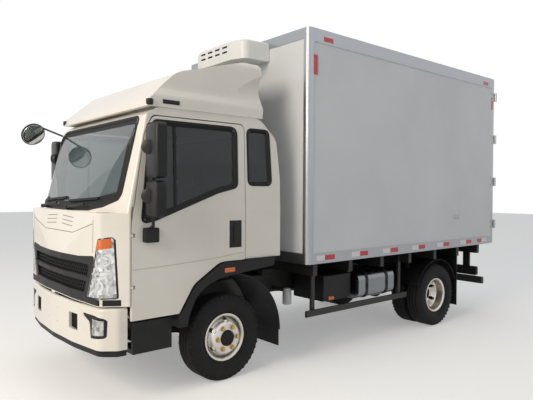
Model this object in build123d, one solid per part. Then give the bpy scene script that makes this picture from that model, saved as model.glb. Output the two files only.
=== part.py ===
from build123d import *
import os
from math import cos, radians, sin, sqrt

# Refrigerated truck with a tilting cab, twin rear wheels and an insulated box.
# Millimetres. The truck faces -Y and its left side is +X. Places are measured from the ground
# below the front axle, and everything is moved along Y at the end so that the truck is centred.

# Running gear
wheelbase = 3360
tyre_radius = 403
tyre_width = 215
rim_radius = 203
rim_width = 152
rim_wall = 8
flange_height = 19
disc_offset = 122
disc_thickness = 11
disc_bore = 78
front_wheel_x = 812
rear_wheel_x = 925
kingpin_x = 700
kingpin_radius = 17
spindle_radius = 30
kingpin_boss = 45
kingpin_eye = 36
fork = 32
axle_drop = 75
drum_radius = 165
tie_arm = 140
rear_tube_radius = 50

# Ladder frame and what hangs on it
rail_front = -1120
rail_rear = 4540
rail_outer = 375
rail_flange = 65
rail_web = 8
rail_bottom = 630
rail_top = 830
front_spring_x = 385
rear_spring_x = 445
spring_width = 70
leaf_thickness = 12
engine_front = -400
engine_rear = 1090
engine_top = 1085
gearbox_z = 600
tank_length = 660
tank_front = 1815
tank_top = 835
tank_bottom = 535
tank_outer = 985
guard_bottom = 440
guard_x = 960
underrun_half = 1000
underrun_z = 465

# Insulated box
box_half = 1112
box_front = 866
box_rear = 4690
box_bottom = 1028
box_top = 3430
wall = 70
floor_thickness = 100
trim = 6
post_width = 60
hinge_pin_radius = 8
hinge_barrel = 15
hinge_half = 35
hinge_lug = 26
hinge_x = box_half + 12
hinge_y = box_rear + 28
door_split = 16
lock_rod = 11
corner = 76
corner_round = 52
notch = 50
rail_lip = 20
bearer_foot = 60

# Cab shell
cab_half = 985
cab_wall = 55
cab_rear = 604
cab_front_y = -1235
cab_sill = 842
cab_floor_z = 880
floor_plate = 45
arch_z = 1135
cowl_z = 1590
cowl_y = -1205
cab_roof_z = 2470
roof_half = 955
side_depth = 82
screen_top = -850
tilt_y = -1180
tilt_z = 580
tilt_pin = 14
tilt_arm_y = -1030
door_front = -985
door_rear = 163
door_bottom = 720
door_top = 2392
door_pin = 5
liner_radius = 606
liner_inner = 470
glass = 6
column_tilt = 55
wheel_radius = 215
steer_x = 440
steering_shaft = 12
corner_mirror_radius = 122

# Bumper
bumper_nose = -1285
tow_half = 78
bumper_top = 828
bumper_bottom = 490
lip_bottom = 438
bumper_wall = 30
plate_holes_x = 240
plate_holes_z = 120
plate_hole = 12
plate_z = 668

# Working clearances: a running fit, a seat and a gap between moving pieces
fit = 0.3
gap = 9

# Places that follow from the sizes
lamp_back = door_front - gap - 12
roof_split = door_top + gap
door_pin_x = cab_half - 8
door_pin_y = door_front + 8
centre_y = (bumper_nose + hinge_y + hinge_barrel) / 2


def block(x, y, z):
    size = [high - low for low, high in (x, y, z)]
    middle = [(high + low) / 2 for low, high in (x, y, z)]
    return Pos(*middle) * Box(*size)


def rod(start, end, radius):
    axis = Vector(end) - Vector(start)
    return Plane(origin=start, z_dir=axis) * Cylinder(
        radius, axis.length, align=(Align.CENTER, Align.CENTER, Align.MIN))


def outline(rows):
    # Each row is a corner: first coordinate, second coordinate, corner radius
    face = make_face(Polyline(*[(a, b) for a, b, _ in rows], close=True))
    for a, b, radius in rows:
        if radius:
            face = fillet(face.vertices().sort_by_distance((a, b, 0))[0], radius)
    return face


def across(face, x0, x1):
    # A side outline in (y, z), carried from x0 to x1
    return extrude(Plane.YZ.offset(x0) * face, amount=x1 - x0)


def along(face, y0, y1):
    # A front outline in (x, z), carried from y0 to y1
    return extrude(Plane.XZ.offset(-y1) * face, amount=y1 - y0)


def upright(face, z0, z1):
    # A plan outline in (x, y), carried from z0 to z1
    return extrude(Plane.XY.offset(z0) * face, amount=z1 - z0)


def lathe(rows):
    # An outline of (distance along X, radius, corner radius) turned about the X axis
    return revolve(Plane.XZ * outline(rows), axis=Axis.X)


def lathe_up(rows):
    # An outline of (radius, height, corner radius) turned about the Z axis
    return revolve(Plane.XZ * outline(rows), axis=Axis.Z)


def pair(shape):
    return [shape, mirror(shape, Plane.YZ)]


def one(shape):
    # The single solid of a result that has one
    solids = shape.solids()
    return solids[0] if len(solids) == 1 else shape


# Wheels: modelled about the X axis with the outer side towards +X, then placed

def tyre():
    bead = rim_width / 2 - fit
    half = tyre_width / 2
    flange = rim_radius + flange_height
    belly = (flange + tyre_radius) / 2
    right = [
        (bead, rim_radius + fit, 0),
        (bead, flange + 4, 0),
        (half, belly - 32, 50),
        (half, belly + 25, 50),
        (half - 24, tyre_radius, 16),
    ]
    ring = lathe(right + [(-a, r, c) for a, r, c in reversed(right)])
    groove_width, groove_depth = 9, 11
    for place in (-0.2, 0, 0.2):
        middle = place * tyre_width
        ring -= lathe([
            (middle - groove_width / 2, tyre_radius - groove_depth, 0),
            (middle + groove_width / 2, tyre_radius - groove_depth, 0),
            (middle + groove_width / 2, tyre_radius + 5, 0),
            (middle - groove_width / 2, tyre_radius + 5, 0),
        ])
    return ring


def rim():
    half = rim_width / 2
    inner = rim_radius - rim_wall
    lip = rim_radius + flange_height
    right = [
        (half, rim_radius, 0),
        (half, lip, 0),
        (half + 9, lip, 4),
        (half + 9, rim_radius + 4, 6),
        (half - 4, inner, 6),
    ]
    barrel = lathe(right + [(-a, r, c) for a, r, c in reversed(right)])
    seat = disc_offset - disc_thickness
    ring = inner - 60
    disc = lathe([
        (22, inner + 1, 0),
        (seat - 14, ring + 16, 8),
        (seat, ring, 8),
        (seat, disc_bore, 0),
        (disc_offset, disc_bore, 0),
        (disc_offset, ring, 12),
        (disc_offset - 14, ring + 18, 12),
        (38, inner + 1, 0),
    ])
    vent = Pos(0, 0, inner - 30) * Rot(0, 90, 0) * Cylinder(23, 400)
    for step in range(6):
        disc -= Rot(step * 60, 0, 0) * vent
    return one(barrel + disc)


def drum(bore, inboard, nose):
    # Hub and brake drum: bore of the hub, depth towards the truck, and reach of the hub outwards
    seat = disc_offset - disc_thickness - fit
    shoulder = seat - 12
    return lathe([
        (nose, 0, 0),
        (nose, disc_bore - 6, 0),
        (seat, disc_bore - 6, 0),
        (seat, 135, 0),
        (shoulder - 14, drum_radius, 10),
        (inboard, drum_radius, 0),
        (inboard, drum_radius - 14, 0),
        (shoulder - 26, drum_radius - 14, 0),
        (shoulder - 14, bore + 34, 0),
        (inboard + 5, bore + 28, 0),
        (inboard + 5, bore, 0),
        (nose - 10, bore, 0),
        (nose - 10, 0, 0),
    ])


def front_wheel(side):
    turn = 0 if side > 0 else 180
    place = Pos(side * front_wheel_x, 0, tyre_radius) * Rot(0, 0, turn)
    hub = drum(spindle_radius + fit, -45, 62)
    return [place * rim(), place * hub], [place * tyre()]


def rear_wheels(side):
    turn = 0 if side > 0 else 180
    twin = 2 * disc_offset + fit
    outer = Pos(side * rear_wheel_x, wheelbase, tyre_radius) * Rot(0, 0, turn + 180)
    inner = Pos(side * (rear_wheel_x - twin), wheelbase, tyre_radius) * Rot(0, 0, turn)
    hub = drum(rear_tube_radius + fit, -95, disc_offset + 70)
    return [outer * rim(), inner * rim(), inner * hub], [outer * tyre(), inner * tyre()]


# Steering and axles

def knuckle(side):
    height = tyre_radius
    top = height + kingpin_boss + fit
    arm_z = height - kingpin_boss - fit - fork
    web = (kingpin_x + kingpin_eye + 2, kingpin_x + kingpin_eye + 30)
    body = block(web, (-30, 30), (arm_z, top + fork))
    for low in (arm_z, top):
        body += block((kingpin_x, web[1]), (-30, 30), (low, low + fork))
        body += Pos(kingpin_x, 0, low + fork / 2) * Cylinder(kingpin_eye, fork)
    body += rod((kingpin_x, 0, arm_z), (kingpin_x, 0, top + fork), kingpin_radius)
    body += rod((web[1] - 2, 0, height), (front_wheel_x + 50, 0, height), spindle_radius)
    body += block((kingpin_x - 14, kingpin_x + 14), (20, tie_arm), (arm_z, arm_z + 24))
    body += Pos(kingpin_x, tie_arm, arm_z + 12) * Cylinder(20, 24)
    body += rod((kingpin_x, tie_arm, arm_z - 42), (kingpin_x, tie_arm, arm_z + 5), 10)
    return one(body) if side > 0 else one(mirror(body, Plane.YZ))


def tie_rod():
    arm_z = tyre_radius - kingpin_boss - fit - fork
    middle = arm_z - fit - 20
    bar = rod((-kingpin_x + 12, tie_arm, middle), (kingpin_x - 12, tie_arm, middle), 13)
    for side in (-1, 1):
        end = Pos(side * kingpin_x, tie_arm, middle)
        bar += end * Cylinder(21, 36)
    for side in (-1, 1):
        bar -= Pos(side * kingpin_x, tie_arm, middle) * Cylinder(10 + fit, 60)
    return one(bar)


def front_axle():
    height = tyre_radius
    boss, drop = kingpin_boss, axle_drop
    half = [
        (0, height - boss - drop, 0),
        (front_spring_x + 60, height - boss - drop, 60),
        (kingpin_x - 40, height - boss, 60),
        (kingpin_x, height - boss, 0),
        (kingpin_x, height + boss, 0),
        (kingpin_x - 60, height + boss, 60),
        (front_spring_x + 80, height + boss - drop, 60),
        (0, height + boss - drop, 0),
    ]
    side = outline(half)
    beam = along(side, -34, 34)
    pocket_low, pocket_high = height - boss - drop + 20, height + boss - drop - 20
    for y0, y1 in ((-40, -16), (16, 40)):
        beam -= block((-1, front_spring_x + 40), (y0, y1), (pocket_low, pocket_high))
    beam += Pos(kingpin_x, 0, height) * Cylinder(kingpin_eye, 2 * boss)
    beam -= Pos(kingpin_x, 0, height) * Cylinder(kingpin_radius + fit, 300)
    return one(beam + mirror(beam, Plane.YZ))


def rear_axle():
    reach = rear_wheel_x - 2 * disc_offset - fit + disc_offset + 40
    centre = Pos(0, wheelbase, tyre_radius)
    tube = rod((-reach, wheelbase, tyre_radius), (reach, wheelbase, tyre_radius), rear_tube_radius)
    bowl = centre * lathe([
        (-95, 0, 0), (-95, 90, 20), (-40, 175, 30), (40, 175, 30), (95, 90, 20), (95, 0, 0)])
    nose = rod((0, wheelbase - 120, tyre_radius + 20), (0, wheelbase - 290, tyre_radius + 20), 62)
    return one(tube + bowl + nose)


def leaf_pack(seat, leaves, half_length, sag):
    # A stack of curved leaves seen from the side, its lowest leaf resting on the seat height
    stack = None
    radius = (half_length ** 2 + sag ** 2) / (2 * sag)
    for count in range(leaves):
        base = seat + count * leaf_thickness
        length = half_length * (0.4 + 0.6 * (count + 1) / leaves)
        bow = radius - count * leaf_thickness
        ring = Pos(0, base + bow) * (Circle(bow) - Circle(bow - leaf_thickness))
        leaf = ring & (Pos(0, base + sag) * Rectangle(2 * length, 4 * sag))
        stack = leaf if stack is None else stack + leaf
    return stack


def leaf_springs():
    # Rows: axle place along Y, spring place along X, seat height, leaves, half length, sag
    front_seat = tyre_radius + kingpin_boss - axle_drop + fit
    rear_seat = tyre_radius + rear_tube_radius + fit
    rows = [
        (0, front_spring_x, front_seat, 5, 560, 78),
        (wheelbase, rear_spring_x, rear_seat, 8, 620, 60),
    ]
    solids = []
    for y, x, seat, leaves, half_length, sag in rows:
        spring = across(leaf_pack(seat, leaves, half_length, sag), x - spring_width / 2, x + spring_width / 2)
        spring = Pos(0, y, 0) * spring
        eye_z = seat + (leaves - 0.5) * leaf_thickness + sag
        for end in (-1, 1):
            eye = (y + end * (half_length - 6), eye_z + 8)
            spring += rod((x - spring_width / 2, *eye), (x + spring_width / 2, *eye), 24)
            hanger_y = (eye[0] - 45, eye[0] + 45)
            inboard, outboard = x - spring_width / 2, x + spring_width / 2
            hanger_foot = eye[1] + 24 + fit
            if inboard > rail_outer:
                hanger = block((rail_outer + fit, outboard), hanger_y, (hanger_foot, rail_bottom + 110))
            else:
                hanger = block((inboard, outboard), hanger_y, (hanger_foot, rail_bottom - fit))
            solids += pair(hanger)
        solids += pair(one(spring))
    return solids


# Frame and what it carries

def ladder_frame():
    rail = block((rail_outer - rail_flange, rail_outer), (rail_front, rail_rear), (rail_bottom, rail_top))
    rail -= block((rail_outer - rail_flange - 1, rail_outer - rail_web), (rail_front - 1, rail_rear + 1),
                  (rail_bottom + rail_web, rail_top - rail_web))
    rail += block((rail_outer - rail_flange, rail_outer), (tilt_y - 2 * tilt_pin, rail_front + 90),
                  (tilt_z - 2 * tilt_pin, rail_bottom + rail_web))
    rail += rod((rail_outer - 10, tilt_y, tilt_z), (rail_outer + 62, tilt_y, tilt_z), tilt_pin)
    solids = pair(one(rail))
    inner = rail_outer - rail_web - fit
    for y in (rail_front + 60, cab_rear + 560, 1960, 2700, wheelbase + 420, rail_rear - 60):
        solids.append(block((-inner, inner), (y - 35, y + 35), (rail_bottom + 30, rail_top - 30)))
    return solids


def propeller_shaft():
    front, rear = engine_rear + fit, wheelbase - 290 - fit
    low = tyre_radius + 20
    shaft = rod((0, front + 15, gearbox_z), (0, rear - 15, low), 38)
    shaft += rod((0, front, gearbox_z), (0, front + 40, gearbox_z), 60)
    shaft += rod((0, rear - 40, low), (0, rear, low), 60)
    return one(shaft)


def engine_and_gearbox():
    half = rail_outer - rail_flange - 20
    side = outline([
        (engine_front, 520, 30),
        (320, 500, 30),
        (480, 515, 30),
        (engine_rear, 515, 20),
        (engine_rear, 720, 20),
        (620, 745, 60),
        (380, engine_top - 160, 40),
        (300, engine_top, 40),
        (engine_front, engine_top, 40),
    ])
    block_solid = across(side, -half, half)
    for x0, x1 in ((-half - 1, -half + 130), (half - 130, half + 1)):
        block_solid -= block((x0, x1), (500, engine_rear + 1), (400, 1200))
    return one(block_solid)


def fuel_tank():
    depth = tank_outer - rail_outer - 60
    section = outline([
        (tank_outer - depth, tank_bottom, 70),
        (tank_outer, tank_bottom, 90),
        (tank_outer, tank_top, 90),
        (tank_outer - depth, tank_top, 70),
    ])
    tank = along(section, tank_front, tank_front + tank_length)
    neck = Pos(tank_outer - depth / 2, tank_front + 110, tank_top + 15) * Cylinder(42, 60)
    bracket_solids = []
    inner = rail_outer + fit
    for share in (0.22, 0.78):
        y = tank_front + share * tank_length
        arm = block((inner, tank_outer - depth - fit), (y - 25, y + 25), (tank_bottom + 90, tank_top - 60))
        bracket_solids.append(arm)
    return [one(tank + neck)] + bracket_solids


def battery_box():
    y0, y1 = tank_front - 500, tank_front - 60
    case = outline([(430, 560, 15), (910, 560, 25), (910, 850, 25), (430, 850, 15)])
    box = along(case, y0, y1)
    arm = block((rail_outer + fit, 430 - fit), (y0 + 60, y1 - 60), (680, 800))
    return [one(box), arm]


def muffler():
    x, z = -690, 640
    can = rod((x, 1500, z), (x, 2420, z), 140)
    can += rod((x, 2420, z - 20), (x, 2560, z - 20), 45)
    pipe = rod((x, 1505, z), (x, 1330, z), 45)
    reach = (x + 140 * 0.9, -rail_outer - fit)
    arms = [block(reach, (y - 25, y + 25), (z + 60, z + 130)) for y in (1640, 2280)]
    shell = one(can + pipe)
    return [shell] + [one(arm - can) for arm in arms]


def side_guards():
    front, rear = 1010, 2780
    bar = block((guard_x - 30, guard_x), (front, rear), (guard_bottom, guard_bottom + 70))
    bar = fillet(bar.edges().filter_by(Axis.Y), 12)
    for y in (front + 120, rear - 120):
        hanger_z = (guard_bottom, box_bottom + rail_lip - fit)
        bar += block((guard_x - 58, guard_x - 30), (y - 25, y + 25), hanger_z)
    return pair(one(bar))


def rear_underrun():
    y0 = rail_rear + 60
    bar = block((-underrun_half, underrun_half), (y0, y0 + 60), (underrun_z - 50, underrun_z + 50))
    bar = fillet(bar.edges().filter_by(Axis.X), 12)
    for x in (-rail_outer + 40, rail_outer - 40):
        bar += block((x - 35, x + 35), (y0 - 60 + fit, y0 + 4), (underrun_z - 50, rail_top - 20))
    return one(bar)


def mudguards():
    solids = []
    outer, inner = rear_wheel_x + 112, rear_wheel_x - 2 * disc_offset - 120
    arc = tyre_radius + 75
    ring = Pos(0, tyre_radius) * (Circle(arc) - Circle(arc - 5))
    cap = ring & (Pos(0, tyre_radius + 170 + arc) * Rectangle(4 * arc, 2 * arc))
    guard = Pos(0, wheelbase, 0) * across(cap, inner, outer)
    flap_y = wheelbase + arc + 25
    flap = block((inner, outer), (flap_y - 25, flap_y - 17), (210, rail_top + bearer_foot))
    solids += pair(one(guard))
    solids += pair(flap)
    for y in (wheelbase - 300, wheelbase + 300):
        leg_top = box_bottom + rail_lip - fit
        leg_foot = tyre_radius + sqrt(arc ** 2 - 300 ** 2) - 20
        leg = block((rear_wheel_x - 160, rear_wheel_x - 120), (y - 20, y + 20), (leg_foot, leg_top))
        keep = Pos(0, wheelbase, tyre_radius) * Rot(0, 90, 0) * Cylinder(arc + fit, 4000)
        solids += pair(one(leg - keep))
    return solids


def tail_lamps():
    z0, z1 = underrun_z + 60, underrun_z + 190
    y0, y1 = box_rear - wall + 5, box_rear - 10
    lamp = block((560, 900), (y0, y1), (z0, z1))
    lamp = fillet(lamp.edges().filter_by(Axis.Y), 20)
    lamp += block((680, 780), (y0 + 10, y1 - 10), (z1 - 1, box_bottom - fit))
    return pair(one(lamp))


# Insulated box: floor with bearers, walls, roof and rear portal meet at their inner faces

def box_floor():
    half = box_half - wall - fit
    y1 = box_rear - wall - fit
    deck = block((-box_half + trim + fit, box_half - trim - fit), (box_front + fit, y1),
                 (box_bottom + rail_lip, box_bottom + floor_thickness))
    solids = [one(deck - corner_notch())]
    for y in range(int(box_front) + 180, int(box_rear) - 150, 560):
        bearer_z = (rail_top + bearer_foot + fit, box_bottom + rail_lip - fit)
        bearer = block((-half, half), (y - 30, y + 30), bearer_z)
        solids.append(bearer)
    for x in (-rail_outer + 40, rail_outer - 40):
        runner_z = (rail_top + fit, rail_top + bearer_foot)
        solids.append(block((x - 35, x + 35), (box_front + 20, box_rear - 180), runner_z))
    return solids


def box_walls():
    low = box_bottom + floor_thickness + fit
    high = box_top - wall - fit
    y0, y1 = box_front + wall + fit, box_rear - wall - 2 * fit
    side = block((box_half - wall, box_half), (y0, y1), (low, high))
    front = block((-box_half, box_half), (box_front, box_front + wall), (low, high))
    roof = block((-box_half, box_half), (box_front, y1), (high + fit, box_top))
    return pair(side), [one(front - corner_notch())], [one(roof - corner_notch())]


def box_rear_frame():
    y0, y1 = box_rear - wall - fit, box_rear
    frame = block((-box_half, box_half), (y0, y1), (box_bottom, box_top))
    frame -= block((-box_half + post_width, box_half - post_width), (y0 - 1, y1 + 1),
                   (box_bottom + floor_thickness, box_top - post_width - 20))
    for z in hinge_heights():
        for low in (z - hinge_half - 1 - hinge_lug, z + hinge_half + 1):
            lug = block((box_half - 4, box_half + trim), (box_rear - 70, hinge_y), (low, low + hinge_lug))
            lug += Pos(hinge_x, hinge_y, low + hinge_lug / 2) * Cylinder(hinge_barrel, hinge_lug)
            frame += lug + mirror(lug, Plane.YZ)
        low_end, high_end = z - hinge_half - 2, z + hinge_half + 2
        pin = rod((hinge_x, hinge_y, low_end), (hinge_x, hinge_y, high_end), hinge_pin_radius)
        frame += pin + mirror(pin, Plane.YZ)
    return one(frame)


def hinge_heights():
    low, high = box_bottom + floor_thickness + 180, box_top - post_width - 200
    return [low + (high - low) * step / 3 for step in range(4)]


def rear_door(side):
    # The leaf, and its ironwork: hinge straps, lock rods with their keepers and handles
    half = box_half - post_width - gap
    low = box_bottom + floor_thickness + gap
    high = box_top - post_width - 20 - gap
    face = box_rear + fit
    leaf = block((door_split / 2, half), (box_rear - wall, box_rear), (low, high))
    ironwork = []
    for z in hinge_heights():
        reach = (z - hinge_half, z + hinge_half)
        strap = block((half - 170, half), (face, box_rear + 8), reach)
        strap += block((half - 1, hinge_x), (box_rear + 2, box_rear + 8), reach)
        strap += block((hinge_x - 12, hinge_x), (box_rear + 2, hinge_y), reach)
        strap += Pos(hinge_x, hinge_y, z) * Cylinder(hinge_barrel, 2 * hinge_half)
        strap -= Pos(hinge_x, hinge_y, z) * Cylinder(hinge_pin_radius + fit, 3 * hinge_half)
        ironwork.append(one(strap))
    for x, reach in ((130, 330), (half - 260, 200)):
        lock = rod((x, box_rear + 15, low + 8), (x, box_rear + 15, high - 8), lock_rod)
        for z in (low + 90, low + 520, (low + high) / 2 + 250, high - 90):
            lock += block((x - 26, x + 26), (face, box_rear + 20), (z - 20, z + 20))
        lock += block((x, x + reach), (box_rear + 16, box_rear + 28), (low + 420, low + 452))
        ironwork.append(one(lock))
    if side > 0:
        return [leaf], ironwork
    return [mirror(leaf, Plane.YZ)], [mirror(piece, Plane.YZ) for piece in ironwork]


def corner_notch():
    # Room for the front corner posts in floor, front wall and roof
    depth = (box_front - notch, box_front + notch)
    post = block((box_half - notch, box_half + notch), depth, (0, 2 * box_top))
    return post + mirror(post, Plane.YZ)


def box_edge_trim():
    # Extruded edges: rounded corner posts at the front, top and bottom rails between them
    solids = []
    y0, y1 = box_front - trim, box_rear - wall - 2 * fit
    rail_y = box_front - trim + corner + fit
    lip_z = (box_bottom, box_bottom + rail_lip - fit)
    bottom_rail = block((box_half - trim, box_half + trim), (rail_y, y1), lip_z)
    bottom_rail += block((box_half + fit, box_half + trim), (rail_y, y1), (box_bottom, box_bottom + 110))
    top_rail = block((box_half + fit, box_half + trim), (rail_y, y1), (box_top - 140, box_top))
    edge, seat = box_half - notch + fit, box_front + notch - fit
    section = outline([
        (box_half + trim - corner, y0, 0),
        (box_half + trim, y0, corner_round),
        (box_half + trim, y0 + corner, 0),
        (box_half + fit, y0 + corner, 0),
        (box_half + fit, seat, 0),
        (edge, seat, 0),
        (edge, box_front - fit, 0),
        (box_half + trim - corner, box_front - fit, 0),
    ])
    for shape in (bottom_rail, top_rail, upright(section, box_bottom, box_top)):
        solids += pair(one(shape))
    half = box_half + trim - corner - fit
    header = block((-half, half), (y0, box_front - fit), (box_top - 110, box_top))
    footer = block((-half, half), (y0, box_front - fit), (box_bottom, box_bottom + 110))
    return solids + [header, footer]


def fridge_unit():
    half, depth, height = 500, 372, 205
    z1 = box_top - 40
    plan = outline([
        (-half, box_front - trim - fit, 0),
        (half, box_front - trim - fit, 0),
        (half - 30, box_front - depth + 60, 90),
        (half - 200, box_front - depth, 90),
        (-half + 200, box_front - depth, 90),
        (-half + 30, box_front - depth + 60, 90),
    ])
    case = upright(plan, z1 - height, z1)
    top_edges = case.faces().sort_by(Axis.Z)[-1].edges()
    case = fillet(top_edges.filter_by(lambda e: e.center().Y < box_front - trim - 1), 30)
    return one(case)


# Cab shell: a body with a curved front, a lofted upper half and a rounded back edge.
# The same body set inwards gives the inner faces of the panels and the faces of the glass.

def plan_section(half, front, shoulder, corner, inset):
    # half width, middle of the front, shoulder of the front face, and where the side begins
    h, s = half - inset, shoulder[0] - inset * 0.5
    right = [
        (h, cab_rear + 60, 0),
        (h, corner + inset * 0.6, 24),
        (s, shoulder[1] + inset, 60),
    ]
    return outline(right + [(0, front + inset, 0)] + [(-x, y, r) for x, y, r in reversed(right)])


def cab_body(inset):
    low = door_bottom - 20
    waist = plan_section(cab_half, cab_front_y - 38, (850, -1205), door_front - 20, inset)
    lower = upright(waist, low - 40, cowl_z)
    foot = plan_section(cab_half, cowl_y - 9, (620, -1168), door_front - 30, inset)
    head = plan_section(roof_half, screen_top - 27, (roof_half - 60, screen_top - 5), screen_top + 30, inset)
    upper = loft([Plane.XY.offset(cowl_z) * foot, Plane.XY.offset(cab_roof_z + 30) * head])
    side = outline([
        (cab_front_y + inset, low, 0),
        (cab_front_y - 30 + inset, 1180, 500),
        (cowl_y + inset, cowl_z, 0),
        (screen_top + inset * 0.9, cab_roof_z - 70, 90),
        (screen_top + 110 + inset * 0.5, cab_roof_z - inset, 120),
        (cab_rear - 250 - inset * 0.5, cab_roof_z - inset, 160),
        (cab_rear - 40 - inset, cab_roof_z - 190 - inset * 0.5, 160),
        (cab_rear - inset, cab_roof_z - 560, 300),
        (cab_rear - inset, low, 0),
    ])
    return (lower + upper) & across(side, -cab_half - 1, cab_half + 1)


def door_outline(grow):
    g = grow
    return outline([
        (door_front - g, door_bottom - g, 0),
        (door_front - g, 1480, 200),
        (door_front + 123 - g, 2235, 60),
        (door_front + 200 - g, door_top + g, 60),
        (door_rear + g, door_top + g, 60),
        (door_rear + g, arch_z - 5 - g, 0),
        (-120 + g, arch_z - 5 - g, 200),
        (-400 + g, 955 - g, 200),
        (-545 + g, door_bottom - g, 0),
    ])


def window_outline(grow):
    g = grow
    return outline([
        (-885 - g, 1520 - g, 30),
        (-815 - g, 2185, 30),
        (-765 - g, 2345 + g, 30),
        (62 + g, 2345 + g, 60),
        (62 + g, 1820 - g, 40),
        (-150, 1770 - g, 150),
        (-770, 1545 - g, 150),
    ])


def quarter_outline(grow):
    g = grow
    return outline([
        (215 - g, 1840 - g, 45),
        (480 + g, 1840 - g, 45),
        (455 + g, 2350 + g, 45),
        (210 - g, 2350 + g, 45),
    ])


def screen_outline(grow):
    # Front view of the windscreen, in (x, z)
    g = grow
    right = [(0, 1625 - g, 0), (470, 1635 - g, 80), (868 + g, 1715 - g, 60), (880 + g, 2380 + g, 90)]
    return outline(right + [(-x, z, r) for x, z, r in reversed(right[1:])])


def grille_outline(grow):
    g = grow
    right = [(640 + g, 848, 20), (790 + g, 1245, 25), (500, 1222 + g, 200)]
    return outline(right + [(0, 1220 + g, 0)] + [(-x, z, r) for x, z, r in reversed(right)])


def lamp_outline(grow):
    g = grow
    return outline([
        (662 - g, 892 - g, 15),
        (940 + g, 905 - g, 15),
        (925 + g, 1405 + g, 25),
        (835 - g, 1385 + g, 30),
        (790 - g, 1235, 100),
    ])


def door_hinge_heights():
    return (cab_sill + 140, 1400)


def door_hinges():
    # Lugs on the front pillar, each with a pin that drops into the left door
    lugs = None
    for z in door_hinge_heights():
        lug = block((door_pin_x - 9, door_pin_x + 6), (door_front - gap - 12, door_pin_y), (z, z + 20))
        lug += Pos(door_pin_x, door_pin_y, z + 10) * Cylinder(9, 20)
        lug += rod((door_pin_x, door_pin_y, z - 36), (door_pin_x, door_pin_y, z + 5), door_pin)
        lugs = lug if lugs is None else lugs + lug
    return lugs


def cab_shell():
    outer, inner = cab_body(0), cab_body(cab_wall)
    shell = outer - inner
    back = cab_rear - cab_wall
    far = 3 * cab_half
    side_x = cab_half - side_depth
    doors = across(door_outline(gap), side_x - gap, far)
    doors += mirror(doors, Plane.YZ)
    roof_zone = block((-far, far), (-far, far), (roof_split + fit, far))
    rear_zone = block((-far, far), (back + fit, far), (arch_z, roof_split))
    rear_zone += block((-side_x + fit, side_x - fit), (0, back + 1), (arch_z, roof_split))
    front_zone = block((-far, far), (-far, -600), (cab_sill, roof_split)) - doors
    side_zone = block((side_x, far), (0, back), (arch_z, roof_split)) - doors
    front = shell & front_zone
    front -= along(screen_outline(0), -far, screen_top + 200)
    front -= along(grille_outline(0), -far, -1000)
    for lamp in pair(along(lamp_outline(0), -far, lamp_back)):
        front -= lamp
    for relief in pair(Pos(door_pin_x, door_pin_y, 1540) * Cylinder(16, 200)):
        front -= relief
    for lugs in pair(door_hinges()):
        front += lugs
    side = shell & side_zone
    side -= across(quarter_outline(0), 0, far)
    return {
        "cab_roof": [one(shell & roof_zone)],
        "cab_rear_wall": [one(shell & rear_zone)],
        "cab_front": front.solids(),
        "cab_side_frames": pair(one(side)),
    }


def cab_glass():
    sheet = cab_body(10) - cab_body(10 + glass)
    far = 3 * cab_half
    screen = sheet & along(screen_outline(-fit), -far, screen_top + 200)
    pane = (cab_body(22) - cab_body(22 + glass)) & across(quarter_outline(-fit), cab_half - side_depth, far)
    return [one(screen)] + pair(one(pane))


def cab_door(side):
    far = 3 * cab_half
    side_x = cab_half - side_depth
    shell = (cab_body(0) - cab_body(cab_wall)) & across(door_outline(0), side_x, far)
    shell -= across(window_outline(0), 0, far)
    shell -= block((0, cab_half - 28), (door_front - 50, 400), (0, cab_floor_z + 5))
    shell -= block((cab_half - 6, far), (-18, 125), (1248, 1502))
    for z in door_hinge_heights():
        shell -= Pos(door_pin_x, door_pin_y, z + 10) * Cylinder(24, 32)
        shell -= Pos(door_pin_x, door_pin_y, z - 20) * Cylinder(door_pin + fit, 40)
    pane = (cab_body(24) - cab_body(24 + glass)) & across(window_outline(-fit), side_x, far)
    if side > 0:
        return [one(shell)], [one(pane)]
    return [one(mirror(shell, Plane.YZ))], [one(mirror(pane, Plane.YZ))]


def cab_floor():
    half = cab_half - side_depth - gap
    back = cab_rear - cab_wall
    top = cab_floor_z + floor_plate
    step = arch_z + floor_plate
    side = outline([
        (-1230, cab_floor_z, 0),
        (-590, cab_floor_z, 60),
        (-420, arch_z - 40, 120),
        (-260, arch_z, 60),
        (back, arch_z, 0),
        (back, step, 0),
        (-280, step, 60),
        (-460, arch_z - 20, 120),
        (-610, top, 60),
        (-1230, top, 0),
    ])
    floor = across(side, -half, half) & cab_body(cab_wall + fit)
    for arm in pair(tilt_arm()):
        floor += arm
    return one(floor)


def tilt_arm():
    # Cranked arm that hangs the floor on the frame's tilt pin and swings clear of the bumper
    x0, x1 = rail_outer + 12, rail_outer + 52
    eye = 2 * tilt_pin
    crank = outline([
        (tilt_y, tilt_z - eye, 0),
        (tilt_arm_y + 60, tilt_z - eye, 60),
        (tilt_arm_y + 60, cab_floor_z + 5, 0),
        (tilt_arm_y, cab_floor_z + 5, 0),
        (tilt_arm_y, tilt_z + eye, 20),
        (tilt_y, tilt_z + eye, 0),
    ])
    arm = across(crank, x0, x1) + rod((x0, tilt_y, tilt_z), (x1, tilt_y, tilt_z), eye)
    return one(arm - rod((x0 - 5, tilt_y, tilt_z), (x1 + 5, tilt_y, tilt_z), tilt_pin + fit))


def grille():
    far = 3 * cab_half
    zone = along(grille_outline(-fit), -far, -1000)
    frame = (cab_body(2) - cab_body(40)) & zone
    right = [(600, 930, 25), (690, 1165, 25)]
    hole = outline(right + [(-x, z, r) for x, z, r in reversed(right)])
    frame -= along(hole, -far, -1000)
    mesh = (cab_body(26) - cab_body(36)) & zone & along(hole, -far, -1000)
    bar = (cab_body(6) - cab_body(38)) & zone & block((-far, far), (-far, -1000), (1020, 1070))
    return one(frame + mesh + bar)


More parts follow.
